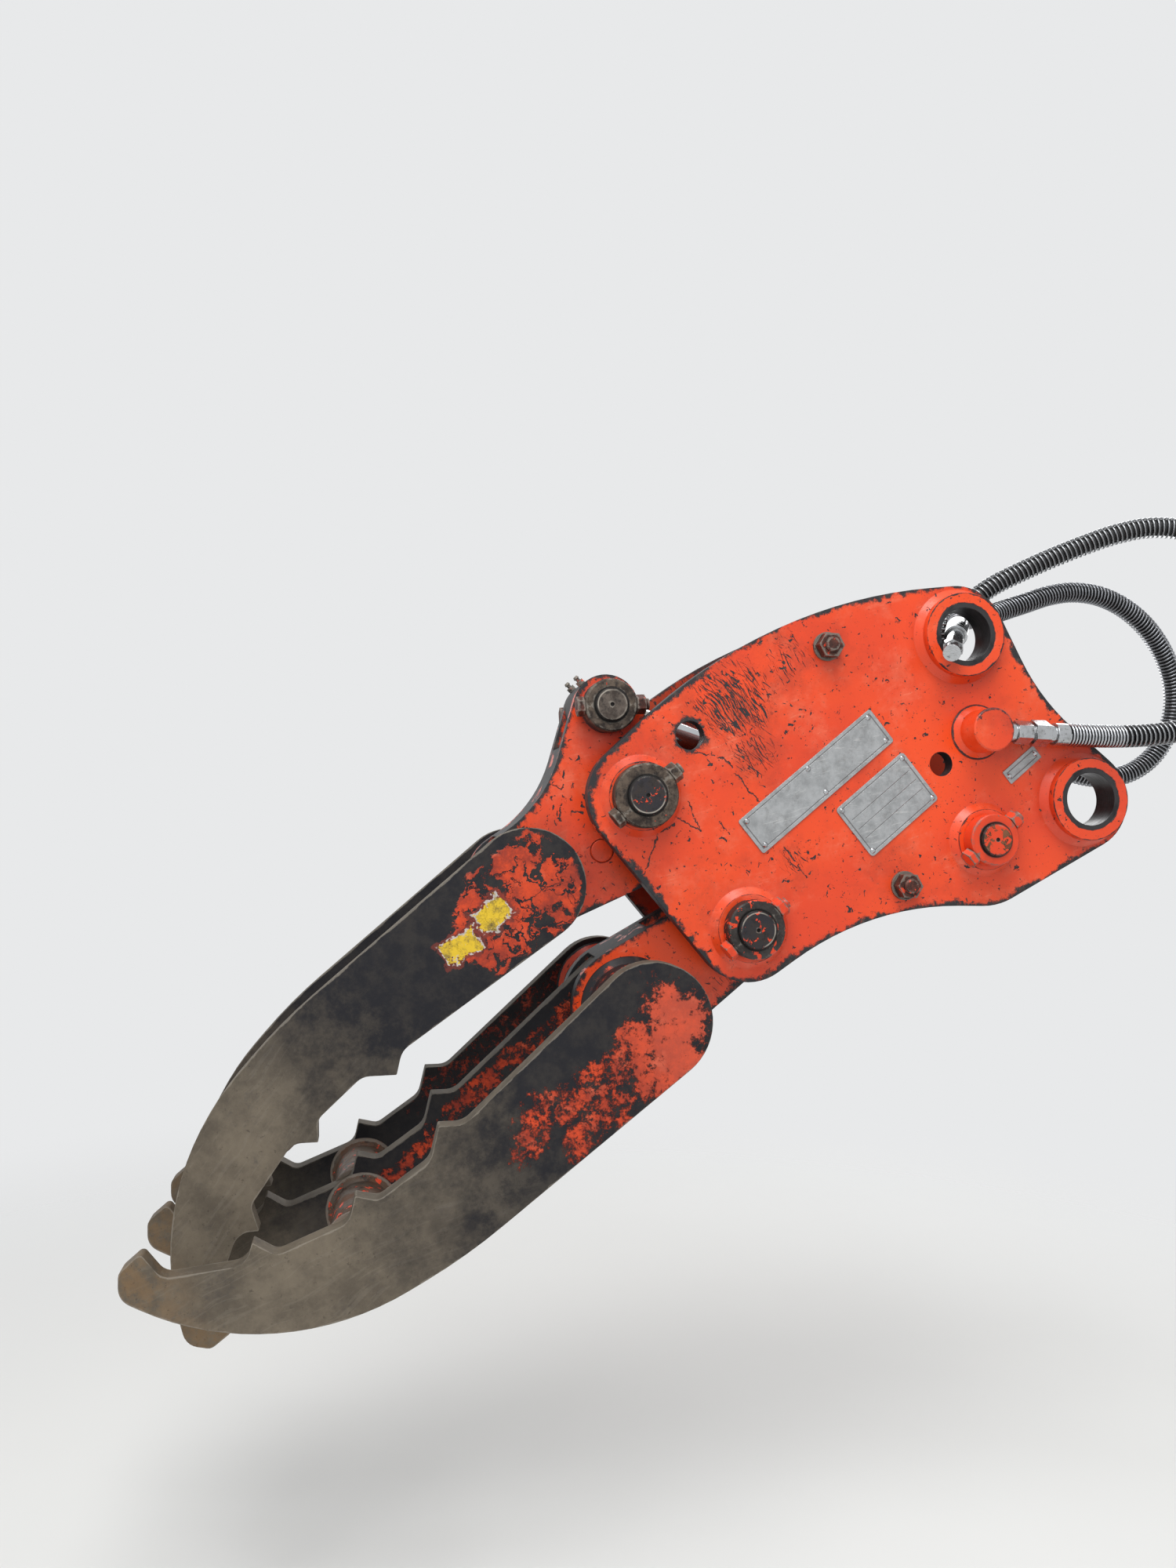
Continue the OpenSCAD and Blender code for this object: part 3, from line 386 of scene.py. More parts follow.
# The side plates: 16 mm steel plate with welded bosses, under an orange-red enamel on dark primer.
# The enamel is knocked off along the edges, flaked round the pins and scratched by the load.
plate_inside = 0.067
plate_face = 0.083
boss_wear = 0.0025
enamel = rgb(242, 79, 28)
worn_enamel = rgb(227, 68, 30)
# The enamel's colour where painted shade darkens it in the corners
shaded_enamel = rgb(150, 42, 24)
faded_enamel = rgb(240, 124, 92)
primer = rgb(22, 22, 26)
mud = rgb(74, 44, 34)

# Flakes of paint gone, in patches that grow as the share rises from 0 to 1
flakes, given, gives = new_group(
    "flakes", {"Place": "Vector", "Scale": "Float", "Share": "Float"}, {"Mask": "Float"}
)
torn = noise(flakes, given["Place"], given["Scale"], 7, 0.6, 0.6)
limit = fade(flakes, given["Share"], 0.0, 1.0, 0.78, 0.22)
flakes.links.new(fade(flakes, calc(flakes, "SUBTRACT", torn, limit), 0.0, 0.012), gives["Mask"])

# Thin broken scratches in one direction: the angle is from level, in radians, on the plate's face
scratches, given, gives = new_group(
    "scratches", {"Place": "Vector", "Angle": "Float", "Fineness": "Float", "Share": "Float"},
    {"Mask": "Float"},
)
turned = put(
    scratches, "VectorRotate", {"Vector": given["Place"], "Angle": given["Angle"]}, rotation_type="Y_AXIS"
).outputs[0]
swing = put(scratches, "TexNoise", {"Vector": turned, "Scale": 11.0, "Detail": 2.0}).outputs["Color"]
bent = vec(scratches, "MULTIPLY_ADD", swing, (0.03, 0.03, 0.03), turned)
line = noise(scratches, vec(scratches, "MULTIPLY", bent, (0.07, 0.3, 1.0)), given["Fineness"], 3, 0.6)
limit = fade(scratches, given["Share"], 0.0, 1.0, 0.82, 0.5)
scratches.links.new(fade(scratches, calc(scratches, "SUBTRACT", line, limit), 0.0, 0.03), gives["Mask"])

# A stroke on a face: 1 within its inner half width of a line in X and Z, 0 beyond its outer one
stroke, given, gives = new_group(
    "stroke",
    {"Place": "Vector", "From": "Vector", "To": "Vector", "Inner": "Float", "Outer": "Float"},
    {"Mask": "Float"},
)
way = vec(stroke, "SUBTRACT", given["To"], given["From"])
since = vec(stroke, "SUBTRACT", given["Place"], given["From"])
share = put(
    stroke, "Math", {0: vec(stroke, "DOT_PRODUCT", since, way), 1: vec(stroke, "DOT_PRODUCT", way, way)},
    operation="DIVIDE", use_clamp=True,
).outputs[0]
foot = put(stroke, "VectorMath", {0: way, "Scale": share}, operation="SCALE").outputs["Vector"]
off_line = vec(stroke, "DISTANCE", since, foot)
stroke.links.new(fade_out(stroke, off_line, given["Inner"], given["Outer"]), gives["Mask"])


def flat(tree, place):
    """A place's X and Z, with Y at 0."""
    return vec(tree, "MULTIPLY", place, (1, 0, 1))


def wavered(tree, place, scale, reach):
    """The place on the face in X and Z, moved about by up to half the reach, for crooked outlines."""
    swing = put(tree, "TexNoise", {"Vector": place, "Scale": scale, "Detail": 5.0, "Roughness": 0.6})
    centred = vec(tree, "SUBTRACT", swing.outputs["Color"], (0.5, 0.5, 0.5))
    return flat(tree, vec(tree, "MULTIPLY_ADD", centred, (reach, reach, reach), place))


def most(tree, values):
    """The greatest of several values."""
    found = values[0]
    for value in values[1:]:
        found = calc(tree, "MAXIMUM", found, value)
    return found


def strokes(tree, level, lines, inner, outer):
    """1 on the lines, each a row of places in X and Z, and 0 beyond their outer half width."""
    masks = []
    for line in lines:
        ends = [(x, 0, z) for x, z in line]
        for a, b in zip(ends, ends[1:]):
            masks.append(use(tree, stroke, Place=level, From=a, To=b, Inner=inner, Outer=outer)["Mask"])
    return most(tree, masks)


def away_from(tree, level, x, z):
    """How far a place on a face is from x and z."""
    return vec(tree, "DISTANCE", level, (x, 0, z))


def axis_of(tree, vector, axis):
    """One axis of a vector."""
    return put(tree, "SeparateXYZ", {0: vector}).outputs[axis]


def outward(tree):
    """How squarely a face looks along Y: 1 on a plate's far face, -1 on its near one, 0 at its edges."""
    return axis_of(tree, put(tree, "NewGeometry").outputs["Normal"], "Y")


def tilted_box(tree, level, x, z, angle, width, tall):
    """How far outside a tilted box a place on a face is, and less than 0 inside it; its own axes too."""
    own = put(
        tree, "VectorRotate", {"Vector": level, "Center": (x, 0, z), "Angle": angle}, rotation_type="Y_AXIS"
    ).outputs[0]
    apart = put(tree, "SeparateXYZ", {0: vec(tree, "SUBTRACT", own, (x, 0, z))}).outputs
    across = calc(tree, "SUBTRACT", calc(tree, "ABSOLUTE", apart["X"]), width / 2)
    up = calc(tree, "SUBTRACT", calc(tree, "ABSOLUTE", apart["Z"]), tall / 2)
    return calc(tree, "MAXIMUM", across, up), apart


def painted(
    name, edge_width=0.010, chipped=0.32, worn_spots=(), crack_lines=(), bare_sides=0.6, side_reach=1.0,
    inner=0.0, sound=()
):
    """Enamel over primer. Each worn spot is x, z, inner and outer radius and how much is scratched
    there. Sides square to the face lose a share of it out to a reach from the mid plane, and what is
    nearer the mid plane than inner is painted dark as shade. Sound has the x, z and radius of patches
    with whole edges."""
    made, tree, place = new_material(name)
    level = flat(tree, place)
    off_middle = calc(tree, "ABSOLUTE", axis_of(tree, place, "Y"))
    coat = cover(tree, enamel, worn_enamel, blotches(tree, place, 7, 3, 0.5, 0.35, 0.65))
    scuffed = blotches(tree, place, 21, 7, 0.7, 0.5, 0.72)
    coat = cover(tree, coat, faded_enamel, scuffed, 0.42)
    smudged = blotches(tree, place, 9, 8, 0.72, 0.5, 0.76)
    # Dark smudges, more of them towards the bottom: real smudges, and a painted shade darker lower down
    low = fade(tree, axis_of(tree, place, "Z"), 0.1, -0.2, 0.36, 0.66)
    coat = cover(tree, coat, rgb(140, 50, 30), smudged, low)
    crooked = wavered(tree, place, 18.0, 0.08)
    faint = use(tree, scratches, Place=crooked, Angle=-0.7, Fineness=260.0, Share=0.6)["Mask"]
    coat = cover(tree, coat, mud, faint, smudged, 0.35)
    # Painted shade in the corners, in a deep red, with thin dirt in patches
    shade_and_dirt = use(tree, shade_and_grime, Place=place, Reach=0.022, Patches=16.0)["Mask"]
    coat = cover(tree, coat, shaded_enamel, shade_and_dirt, 0.72)
    specks = calc(tree, "MULTIPLY_ADD", smudged, 0.05, noise(tree, place, 380, 3, 0.6))
    coat = cover(tree, coat, mud, fade(tree, specks, 0.65, 0.71), 0.6)
    pale = use(tree, scratches, Place=place, Angle=0.3, Fineness=300.0, Share=0.62)["Mask"]
    coat = cover(tree, coat, faded_enamel, pale, scuffed, 0.6)
    extra = most(tree, [
        product(tree, fade_out(tree, away_from(tree, level, x, z), full, none), more)
        for x, z, full, none, more in worn_spots
    ] or [0.0])
    coat = cover(tree, coat, mud, extra, blotches(tree, place, 34, 8, 0.75, 0.4, 0.66), 0.55)
    side = product(
        tree, fade_out(tree, calc(tree, "ABSOLUTE", outward(tree)), 0.3, 0.6),
        fade_out(tree, off_middle, side_reach, side_reach + 0.0004),
    )
    width = fade(tree, off_middle, plate_face + 0.0004, plate_face + 0.0008, edge_width, boss_wear)
    for x, z, radius in sound:
        outside = fade(tree, away_from(tree, level, x, z), radius, radius + 0.001, 0.08, 1.0)
        width = product(tree, width, outside)
    gone = [
        use(tree, edge_wear, Place=place, Width=width, Grain=90.0)["Mask"],
        product(tree, side, use(tree, flakes, Place=place, Scale=30.0, Share=bare_sides)["Mask"]),
    ]
    for scale, share in ((150.0, chipped), (36.0, chipped - 0.1)):
        share = calc(tree, "MULTIPLY_ADD", extra, 0.05, share)
        gone.append(use(tree, flakes, Place=place, Scale=scale, Share=share)["Mask"])
    for angle in (-0.6, -1.0):
        gone.append(use(tree, scratches, Place=place, Angle=angle, Fineness=680.0, Share=extra)["Mask"])
    if crack_lines:
        cracks = strokes(tree, wavered(tree, place, 150.0, 0.009), crack_lines, 0.0003, 0.0011)
        gone.append(product(tree, cracks, blotches(tree, place, 130, 3, 0.5, 0.38, 0.44)))
    gone = most(tree, gone)
    under = cover(tree, primer, rgb(64, 52, 46), blotches(tree, place, 120, 4, 0.5, 0.5, 0.7))
    coat = cover(tree, coat, under, gone)
    # The inner faces between the plates, painted dark as shade
    if inner:
        inner_shade = fade(tree, off_middle, inner - 0.0002, inner + 0.0003, 0.78, 0.0)
        coat = cover(tree, coat, rgb(54, 20, 15), inner_shade)
    surface(
        tree, coat, fade(tree, calc(tree, "MULTIPLY_ADD", shade_and_dirt, 0.5, gone), 0, 1.2, 0.33, 0.62),
        height=calc(tree, "MULTIPLY_ADD", gone, -1.0, product(tree, noise(tree, place, 500, 2), 0.12)),
        relief=0.0006, rounded=0.0014, coat_weight=0.12, coat_roughness=0.25,
    )
    return made


plate_paint = painted(
    "side_plate_paint", bare_sides=0.72, side_reach=plate_face + 0.0002, inner=plate_inside,
    sound=[(-0.126, 0.068, 0.036), (-0.167, 0.032, 0.03)],
    crack_lines=[
        [(-0.440, 0.033), (-0.408, 0.028), (-0.370, -0.015)],
        [(-0.458, -0.034), (-0.431, -0.048), (-0.445, -0.018)],
        [(-0.458, -0.041), (-0.475, -0.051), (-0.489, -0.093)],
        [(-0.341, -0.061), (-0.3155, -0.093)],
        [(-0.412, -0.038), (-0.400, -0.049)],
    ],
    worn_spots=[
        (-0.400, 0.086, 0.01, 0.1, 0.78), (-0.378, 0.035, 0.01, 0.06, 0.68),
        (-0.332, -0.073, 0.005, 0.045, 0.6), (-0.445, 0.050, 0.012, 0.035, 0.7),
        (-0.340, 0.135, 0.01, 0.06, 0.62),
    ],
)
port_paint = painted("port_boss_paint", edge_width=0.0004, chipped=0.28, bare_sides=0.2)
for name in ("side_plate_near", "side_plate_far"):
    dress(nodes[name], plate_paint)
for name in ("port_bosses", "spacer_tubes", "upper_link_pin"):
    dress(nodes[name], port_paint)


# Bushes pressed into the bores and hubs: hard steel, nearly black with burnt grease.
bush_steel, tree, place = new_material("bush_steel")
stain = blotches(tree, place, 45, 5, 0.6, 0.4, 0.68)
ring_marks = noise(tree, vec(tree, "MULTIPLY", place, (1, 14, 1)), 60, 3)
surface(
    tree, cover(tree, rgb(58, 56, 57), rgb(30, 29, 31), stain), fade(tree, ring_marks, 0.3, 0.7, 0.28, 0.5),
    metallic=0.5, height=ring_marks, relief=0.0002, rounded=0.001,
)
for name in (
    "link_pin_bushes", "arm_pin_bushes", "upper_pivot_bushes", "lower_pivot_bushes", "tie_link_bush",
    "cylinder_base_bush", "rod_pin_sleeve",
):
    dress(nodes[name], bush_steel)


# Pins, collars and lock bolts: turned steel, now brown with use, with enamel left on some. Round each
# pin a gap is painted dark as shade, a painted highlight shines in an arc on the turned edge of its
# face, and its lathe centre is painted dark as shade.
pin_places = {
    "upper": (-0.494, -0.014, 0.020), "lower": (-0.377, -0.145, 0.020),
    "base": (-0.117, -0.047, 0.0175), "rod": (-0.523, 0.080, 0.0175),
}
rim_inset = 0.0026
pin_shade_and_highlight, given, gives = new_group("pin_shade_and_highlight", {"Place": "Vector"}, {"GapShade": "Float", "RimHighlight": "Float"})
level = flat(pin_shade_and_highlight, given["Place"])
gap_shades, rim_highlights = [], []
for x, z, radius in pin_places.values():
    away = away_from(pin_shade_and_highlight, level, x, z)
    off_edge, off_rim = (
        calc(pin_shade_and_highlight, "ABSOLUTE", calc(pin_shade_and_highlight, "SUBTRACT", away, ring))
        for ring in (radius, radius - rim_inset)
    )
    gap_shades += [fade_out(pin_shade_and_highlight, off_edge, 0.001, 0.0022), fade_out(pin_shade_and_highlight, away, 0.0018, 0.0026)]
    rim_highlights.append(fade_out(pin_shade_and_highlight, off_rim, 0.0003, 0.0009))
arc = blotches(pin_shade_and_highlight, given["Place"], 28, 3, 0.5, 0.48, 0.6)
pin_shade_and_highlight.links.new(most(pin_shade_and_highlight, gap_shades), gives["GapShade"])
pin_shade_and_highlight.links.new(product(pin_shade_and_highlight, most(pin_shade_and_highlight, rim_highlights), arc), gives["RimHighlight"])


def weathered(name, clean, brown, paint_left, grain=60.0, grain_of_paint=75.0):
    """Bare steel browned by the weather, with a share of enamel left on it and its edges rubbed bright,
    partly a painted highlight. Painted shade and some dirt darken its corners.
    """
    made, tree, place = new_material(name)
    rusty = blotches(tree, place, grain, 7, 0.7, 0.4, 0.64)
    bare = cover(tree, clean, brown, rusty)
    bare = cover(tree, bare, rgb(32, 28, 27), blotches(tree, place, grain * 2.4, 5, 0.7, 0.52, 0.66), 0.75)
    shade_and_dirt = use(tree, shade_and_grime, Place=place, Reach=0.007, Patches=45.0)["Mask"]
    # Painted shade with some dirt in the corners
    bare = cover(tree, bare, rgb(34, 30, 28), shade_and_dirt, 0.75)
    bright = use(tree, edge_wear, Place=place, Width=0.0035, Grain=160.0)["Mask"]
    # Edges rubbed bright, with a painted highlight on them too
    bare = cover(tree, bare, rgb(150, 143, 133), bright, 0.55)
    left = use(tree, flakes, Place=place, Scale=grain_of_paint, Share=paint_left)["Mask"]
    left = product(tree, left, calc(tree, "MULTIPLY_ADD", bright, -0.9, 1.0))
    colour = cover(tree, bare, cover(tree, worn_enamel, shaded_enamel, shade_and_dirt, 0.8), left)
    rings = use(tree, pin_shade_and_highlight, Place=place)
    # A painted highlight on each pin's rim, and painted shade in the gap round it and in its centre
    colour = cover(tree, colour, rgb(178, 170, 158), rings["RimHighlight"], 0.75)
    colour = cover(tree, colour, rgb(16, 14, 13), rings["GapShade"], 0.93)
    surface(
        tree, colour, fade(tree, calc(tree, "SUBTRACT", rusty, left), -0.6, 1.0, 0.36, 0.68),
        metallic=calc(tree, "MULTIPLY_ADD", left, -0.45, 0.45),
        height=calc(tree, "MULTIPLY_ADD", noise(tree, place, 300, 5, 0.75), 0.8, left),
        relief=0.0004, rounded=0.0012,
    )
    return made


dark_collar = weathered("dark_collar", rgb(97, 84, 72), rgb(43, 34, 29), 0.27)
navy_pin = weathered("navy_pin_end", rgb(43, 41, 46), rgb(55, 48, 45), 0.38, grain_of_paint=170.0)
grey_pin = weathered("grey_pin_end", rgb(98, 88, 80), rgb(62, 53, 47), 0.2)
half_painted = weathered("half_painted_collar", rgb(62, 58, 56), rgb(46, 40, 37), 0.42)
painted_collar = weathered("painted_collar", rgb(84, 76, 70), rgb(80, 62, 50), 0.8, grain_of_paint=50.0)
tan_pin = weathered(
    "tan_pin_end", rgb(132, 88, 60), rgb(110, 66, 44), 0.5, grain=90.0, grain_of_paint=120.0
)
red_bolt = weathered(
    "red_brown_bolt", rgb(98, 53, 42), rgb(62, 37, 31), 0.38, grain=120.0, grain_of_paint=90.0
)
for material, names in {
    dark_collar: ("upper_pivot_collars", "rod_pin_collars", "upper_pivot_lock_bolts"),
    half_painted: ("lower_pivot_collars", "grease_nipples"),
    navy_pin: ("upper_pivot_pin", "lower_pivot_pin"),
    grey_pin: ("rod_pin", "lower_link_pin", "tie_link"),
    painted_collar: ("lower_pivot_lock_bolts", "base_pin_collars", "base_pin_lock_bolts"),
    tan_pin: ("base_pin",),
    red_bolt: ("tie_bolts", "rod_pin_lock_bolts"),
}.items():
    for name in names:
        dress(nodes[name], material)


# Three bare sheet plates on the near side, held by dome rivets: thin aluminium, scuffed and stained,
# with a pressed border. The middle one has blank ruled fields.
plate_turn = math.radians(41)
border_inset = 0.004


def sheet_metal(name, x, z, width, tall, rules=()):
    """Aluminium sheet with a pressed border, and rules at heights across its inside."""
    made, tree, place = new_material(name)
    from_border, apart = tilted_box(
        tree, place, x, z, plate_turn, width - 2 * border_inset, tall - 2 * border_inset
    )
    lines = [fade_out(tree, calc(tree, "ABSOLUTE", from_border), 0.0003, 0.0007)]
    for rule in rules:
        off = calc(tree, "ABSOLUTE", calc(tree, "SUBTRACT", apart["Z"], rule))
        inside = fade(tree, from_border, -0.003, -0.0035)
        lines.append(product(tree, fade_out(tree, off, 0.0002, 0.0005), inside))
    pressed = most(tree, lines)
    cloudy = blotches(tree, place, 60, 7, 0.75, 0.35, 0.7)
    metal = cover(tree, rgb(178, 180, 181), rgb(148, 150, 151), cloudy)
    stain = blotches(tree, place, 75, 7, 0.75, 0.52, 0.68)
    metal = cover(tree, metal, rgb(96, 93, 90), stain, 0.3)
    scuffed = use(tree, scratches, Place=place, Angle=0.25, Fineness=420.0, Share=0.6)["Mask"]
    metal = cover(tree, metal, rgb(216, 216, 214), scuffed, 0.3)
    shade_and_dirt = use(tree, shade_and_grime, Place=place, Reach=0.003, Patches=80.0)["Mask"]
    # Painted shade with a little dirt in the corners
    metal = cover(tree, metal, rgb(70, 64, 60), shade_and_dirt, 0.3)
    metal = cover(tree, metal, rgb(74, 70, 68), pressed, 0.6)
    surface(
        tree, metal, fade(tree, stain, 0, 1, 0.36, 0.6), metallic=0.45,
        height=calc(tree, "MULTIPLY_ADD", pressed, -1.0, product(tree, cloudy, 0.4)), relief=0.0004,
        rounded=0.0005,
    )
    return made


dress(nodes["name_plate"], sheet_metal("name_plate_sheet", -0.307, 0.009, 0.188, 0.043))
dress(
    nodes["rating_plate"],
    sheet_metal("rating_plate_sheet", -0.228, -0.013, 0.098, 0.064, rules=(0.012, 0.0, -0.012)),
)
dress(nodes["label_plate"], sheet_metal("label_plate_sheet", -0.073, 0.035, 0.047, 0.016))


# The arms and cross tubes of both jaws: painted plate with bare edges, chipped and dirty, with painted shade
# in the corners.
arm_paint = painted(
    "arm_paint", chipped=0.34, bare_sides=0.55, sound=[(-0.5233, -0.0709, 0.017)],
    crack_lines=[
        [(-0.5685, -0.024), (-0.5682, -0.042)], [(-0.572, -0.030), (-0.572, -0.036)],
        [(-0.556, -0.031), (-0.552, -0.032)], [(-0.577, -0.004), (-0.570, -0.008), (-0.566, -0.004)],
    ],
    worn_spots=[
        (-0.568, -0.03, 0.004, 0.03, 0.5), (-0.605, -0.107, 0.05, 0.09, 0.4),
        (-0.380, -0.20, 0.02, 0.09, 0.5),
    ],
)
for name in (
    "upper_arm_plates", "upper_arm_cover", "lower_arm_plates", "lower_arm_cover",
    "upper_rear_tube", "lower_rear_tube",
):
    dress(nodes[name], arm_paint)
tube_steel = weathered("front_tube_steel", rgb(96, 86, 76), rgb(104, 70, 50), 0.38, grain=30.0)
for name in ("upper_front_tube", "lower_front_tube"):
    dress(nodes[name], tube_steel)


# The tines: 19 mm plate cut with hooked teeth. A navy primer stays at their roots under patches of
# orange, and towards the points it is worn to grey-brown steel with thin edges rubbed bright, with a
# painted highlight on them too.
tine_length = 0.525
upper_root, upper_angle = (-0.605, -0.107), math.radians(235.3)
lower_root, lower_angle = (-0.489, -0.232), math.radians(206)
usual_kept = 0.46


def sticker_left(tree, colour, place, near_face, sticker):
    """What is left of a torn yellow sticker on the near face, with its paper and glue round it. The
    sticker is x, z, tilt, width and height."""
    torn = tilted_box(tree, wavered(tree, place, 75.0, 0.024), *sticker)[0]
    torn = calc(tree, "ADD", torn, fade_out(tree, near_face, 0, 1))
    colour = cover(tree, colour, rgb(112, 50, 42), fade_out(tree, torn, 0.003, 0.0045), 0.8)
    paper = product(tree, fade_out(tree, torn, 0.0, 0.001), blotches(tree, place, 210, 4, 0.5, 0.44, 0.5))
    colour = cover(tree, colour, rgb(198, 190, 184), paper)
    yellow = cover(
        tree, rgb(228, 192, 52), rgb(122, 104, 58), blotches(tree, place, 70, 7, 0.75, 0.42, 0.66)
    )
    rips = fade_out(tree, noise(tree, place, 60, 7, 0.75), 0.56, 0.59)
    return cover(tree, colour, yellow, fade_out(tree, torn, -0.002, -0.001), rips)


def tine_steel(
    name, root, angle, bare_from, patches, reach=0.024, kept=usual_kept, flaking=False, stickers=(),
    shade_between=0.0, outside=None
):
    """A tine's finish: how far along it the steel starts to be bare, and the lines round which orange
    is left, out to a reach. The orange is in sharp flakes or else rubbed thin. A tine that lies
    between others is darkened as painted shade. Outside has the first two again for a far tine's
    outer face, which the painted shade leaves alone."""
    made, tree, place = new_material(name)
    from_root = vec(tree, "SUBTRACT", place, (root[0], 0, root[1]))
    run = vec(tree, "DOT_PRODUCT", from_root, (math.cos(angle), 0, math.sin(angle)))
    along = calc(tree, "DIVIDE", run, tine_length)
    facing = outward(tree)
    outer = fade(tree, facing, 0.3, 0.6)
    near_face = fade_out(tree, facing, -0.6, -0.3)
    facing = calc(tree, "ABSOLUTE", facing)
    if outside:
        along = calc(tree, "MULTIPLY_ADD", outer, bare_from - outside[0], along)
    uneven = calc(tree, "MULTIPLY_ADD", noise(tree, place, 12, 10, 0.74), 0.76, -0.38)
    worn = fade(tree, calc(tree, "ADD", along, uneven), bare_from - 0.2, bare_from + 0.22)
    worn = calc(tree, "MAXIMUM", worn, fade(tree, facing, 0.3, 0.6, 0.9, 0.0))
    dark = cover(tree, rgb(21, 21, 27), rgb(44, 41, 40), blotches(tree, place, 48, 7, 0.72, 0.38, 0.68))
    steel = cover(tree, rgb(122, 112, 97), rgb(94, 86, 75), blotches(tree, place, 17, 8, 0.72, 0.34, 0.66))
    steel = cover(tree, steel, rgb(62, 61, 64), blotches(tree, place, 24, 9, 0.8, 0.53, 0.68), 0.38)
    fine = use(tree, scratches, Place=place, Angle=angle, Fineness=260.0, Share=0.7)["Mask"]
    steel = cover(tree, steel, rgb(150, 142, 130), fine, 0.11)
    tip = product(tree, fade(tree, along, 0.86, 1.0), blotches(tree, place, 60, 6, 0.75, 0.36, 0.6))
    steel = cover(tree, steel, rgb(132, 106, 76), tip, 0.7)
    steel = cover(tree, steel, rgb(60, 52, 46), blotches(tree, place, 200, 5, 0.7, 0.6, 0.7), 0.5)
    base = cover(tree, dark, steel, worn)
    crooked = wavered(tree, place, 55.0, 0.045)
    near_line = strokes(tree, crooked, patches, reach * 0.2, reach * 1.6)
    if outside:
        near_line = fade(tree, outer, 0, 1, near_line, strokes(tree, crooked, outside[1], 0.005, 0.036))
        kept = fade(tree, outer, 0, 1, kept, usual_kept)
    left = cover(tree, rgb(214, 74, 38), rgb(150, 54, 38), blotches(tree, place, 44, 8, 0.75, 0.34, 0.62))
    left = cover(tree, left, rgb(218, 106, 78), blotches(tree, place, 30, 5, 0.6, 0.54, 0.74))
    if flaking:
        rim = use(tree, edge_wear, Place=place, Width=0.013, Grain=60.0)["Mask"]
        holes = use(tree, flakes, Place=crooked, Scale=38.0, Share=0.46)["Mask"]
        seam = put(
            tree, "TexVoronoi", {"Vector": crooked, "Scale": 34.0}, feature="DISTANCE_TO_EDGE"
        ).outputs["Distance"]
        seam = calc(tree, "MULTIPLY_ADD", noise(tree, place, 30, 3), -0.3, seam)
        split = fade_out(tree, seam, -0.13, -0.12)
        whole = [calc(tree, "SUBTRACT", 1.0, mask) for mask in (rim, holes, split)]
        orange = product(tree, fade(tree, near_line, 0.06, 0.1), *whole)
    else:
        solid = calc(tree, "MULTIPLY_ADD", noise(tree, place, 24, 4, 0.6), 1.0, -0.56)
        limit = fade(tree, calc(tree, "ADD", near_line, solid), 0.0, 1.0, 0.66, kept)
        rubbed = calc(tree, "SUBTRACT", noise(tree, place, 85, 12, 0.86), limit)
        rubbed = calc(tree, "ADD", rubbed, fade(tree, along, -0.02, 0.1, 0.09, 0.0))
        orange = product(tree, fade(tree, rubbed, 0.0, 0.05), fade(tree, near_line, 0.0, 0.04))
        left = cover(tree, left, rgb(214, 96, 72), fade(tree, along, -0.02, 0.12, 0.45, 0.0))
    orange = product(tree, orange, fade(tree, facing, 0.3, 0.6))
    colour = cover(tree, base, left, orange)
    for sticker in stickers:
        colour = sticker_left(tree, colour, place, near_face, sticker)
    bright = use(tree, edge_wear, Place=place, Width=0.0018, Grain=60.0)["Mask"]
    # Edges rubbed bright, with a painted highlight on them too
    colour = cover(tree, colour, rgb(160, 152, 140), bright, 0.45)
    # Painted shade on a tine that lies between the others, kept off a far tine's outer face
    if shade_between:
        dimmed = fade(tree, outer, 0, 1, shade_between, 0.0) if outside else shade_between
        colour = cover(tree, colour, rgb(20, 18, 19), dimmed)
    rough = calc(tree, "SUBTRACT", noise(tree, place, 80, 4), orange)
    surface(
        tree, colour, fade(tree, rough, -0.6, 0.8, 0.4, 0.66),
        metallic=product(tree, calc(tree, "MAXIMUM", worn, bright), 0.35),
        height=calc(tree, "MULTIPLY_ADD", noise(tree, place, 240, 6, 0.75), 0.7, orange),
        relief=0.0004, rounded=0.0012, specular_ior_level=0.3,
    )
    return made


upper_patches = [
    [(-0.598, -0.100), (-0.618, -0.118), (-0.632, -0.150)], [(-0.598, -0.122), (-0.612, -0.150)],
]
lower_patches = [
    [(-0.480, -0.214), (-0.457, -0.230), (-0.482, -0.250), (-0.463, -0.271)],
    [(-0.512, -0.250), (-0.508, -0.266), (-0.540, -0.284)],
    [(-0.552, -0.297), (-0.573, -0.311), (-0.596, -0.312)],
    [(-0.601, -0.327), (-0.609, -0.347)], [(-0.480, -0.284), (-0.495, -0.292)],
    [(-0.524, -0.310), (-0.557, -0.340)],
]
middle_patches = [
    [(-0.520, -0.215), (-0.544, -0.232), (-0.566, -0.256), (-0.589, -0.276), (-0.612, -0.292)],
    [(-0.629, -0.314), (-0.652, -0.330), (-0.669, -0.350)], [(-0.685, -0.370), (-0.730, -0.409)],
]
far_patches = [[(-0.540, -0.225), (-0.578, -0.256), (-0.608, -0.286), (-0.640, -0.310), (-0.700, -0.360)]]
upper_outside = [[(-0.600, -0.095), (-0.628, -0.140)], [(-0.650, -0.160), (-0.672, -0.178)]]
lower_outside = [[(-0.462, -0.215), (-0.470, -0.255), (-0.520, -0.262)], [(-0.565, -0.318), (-0.600, -0.330)]]
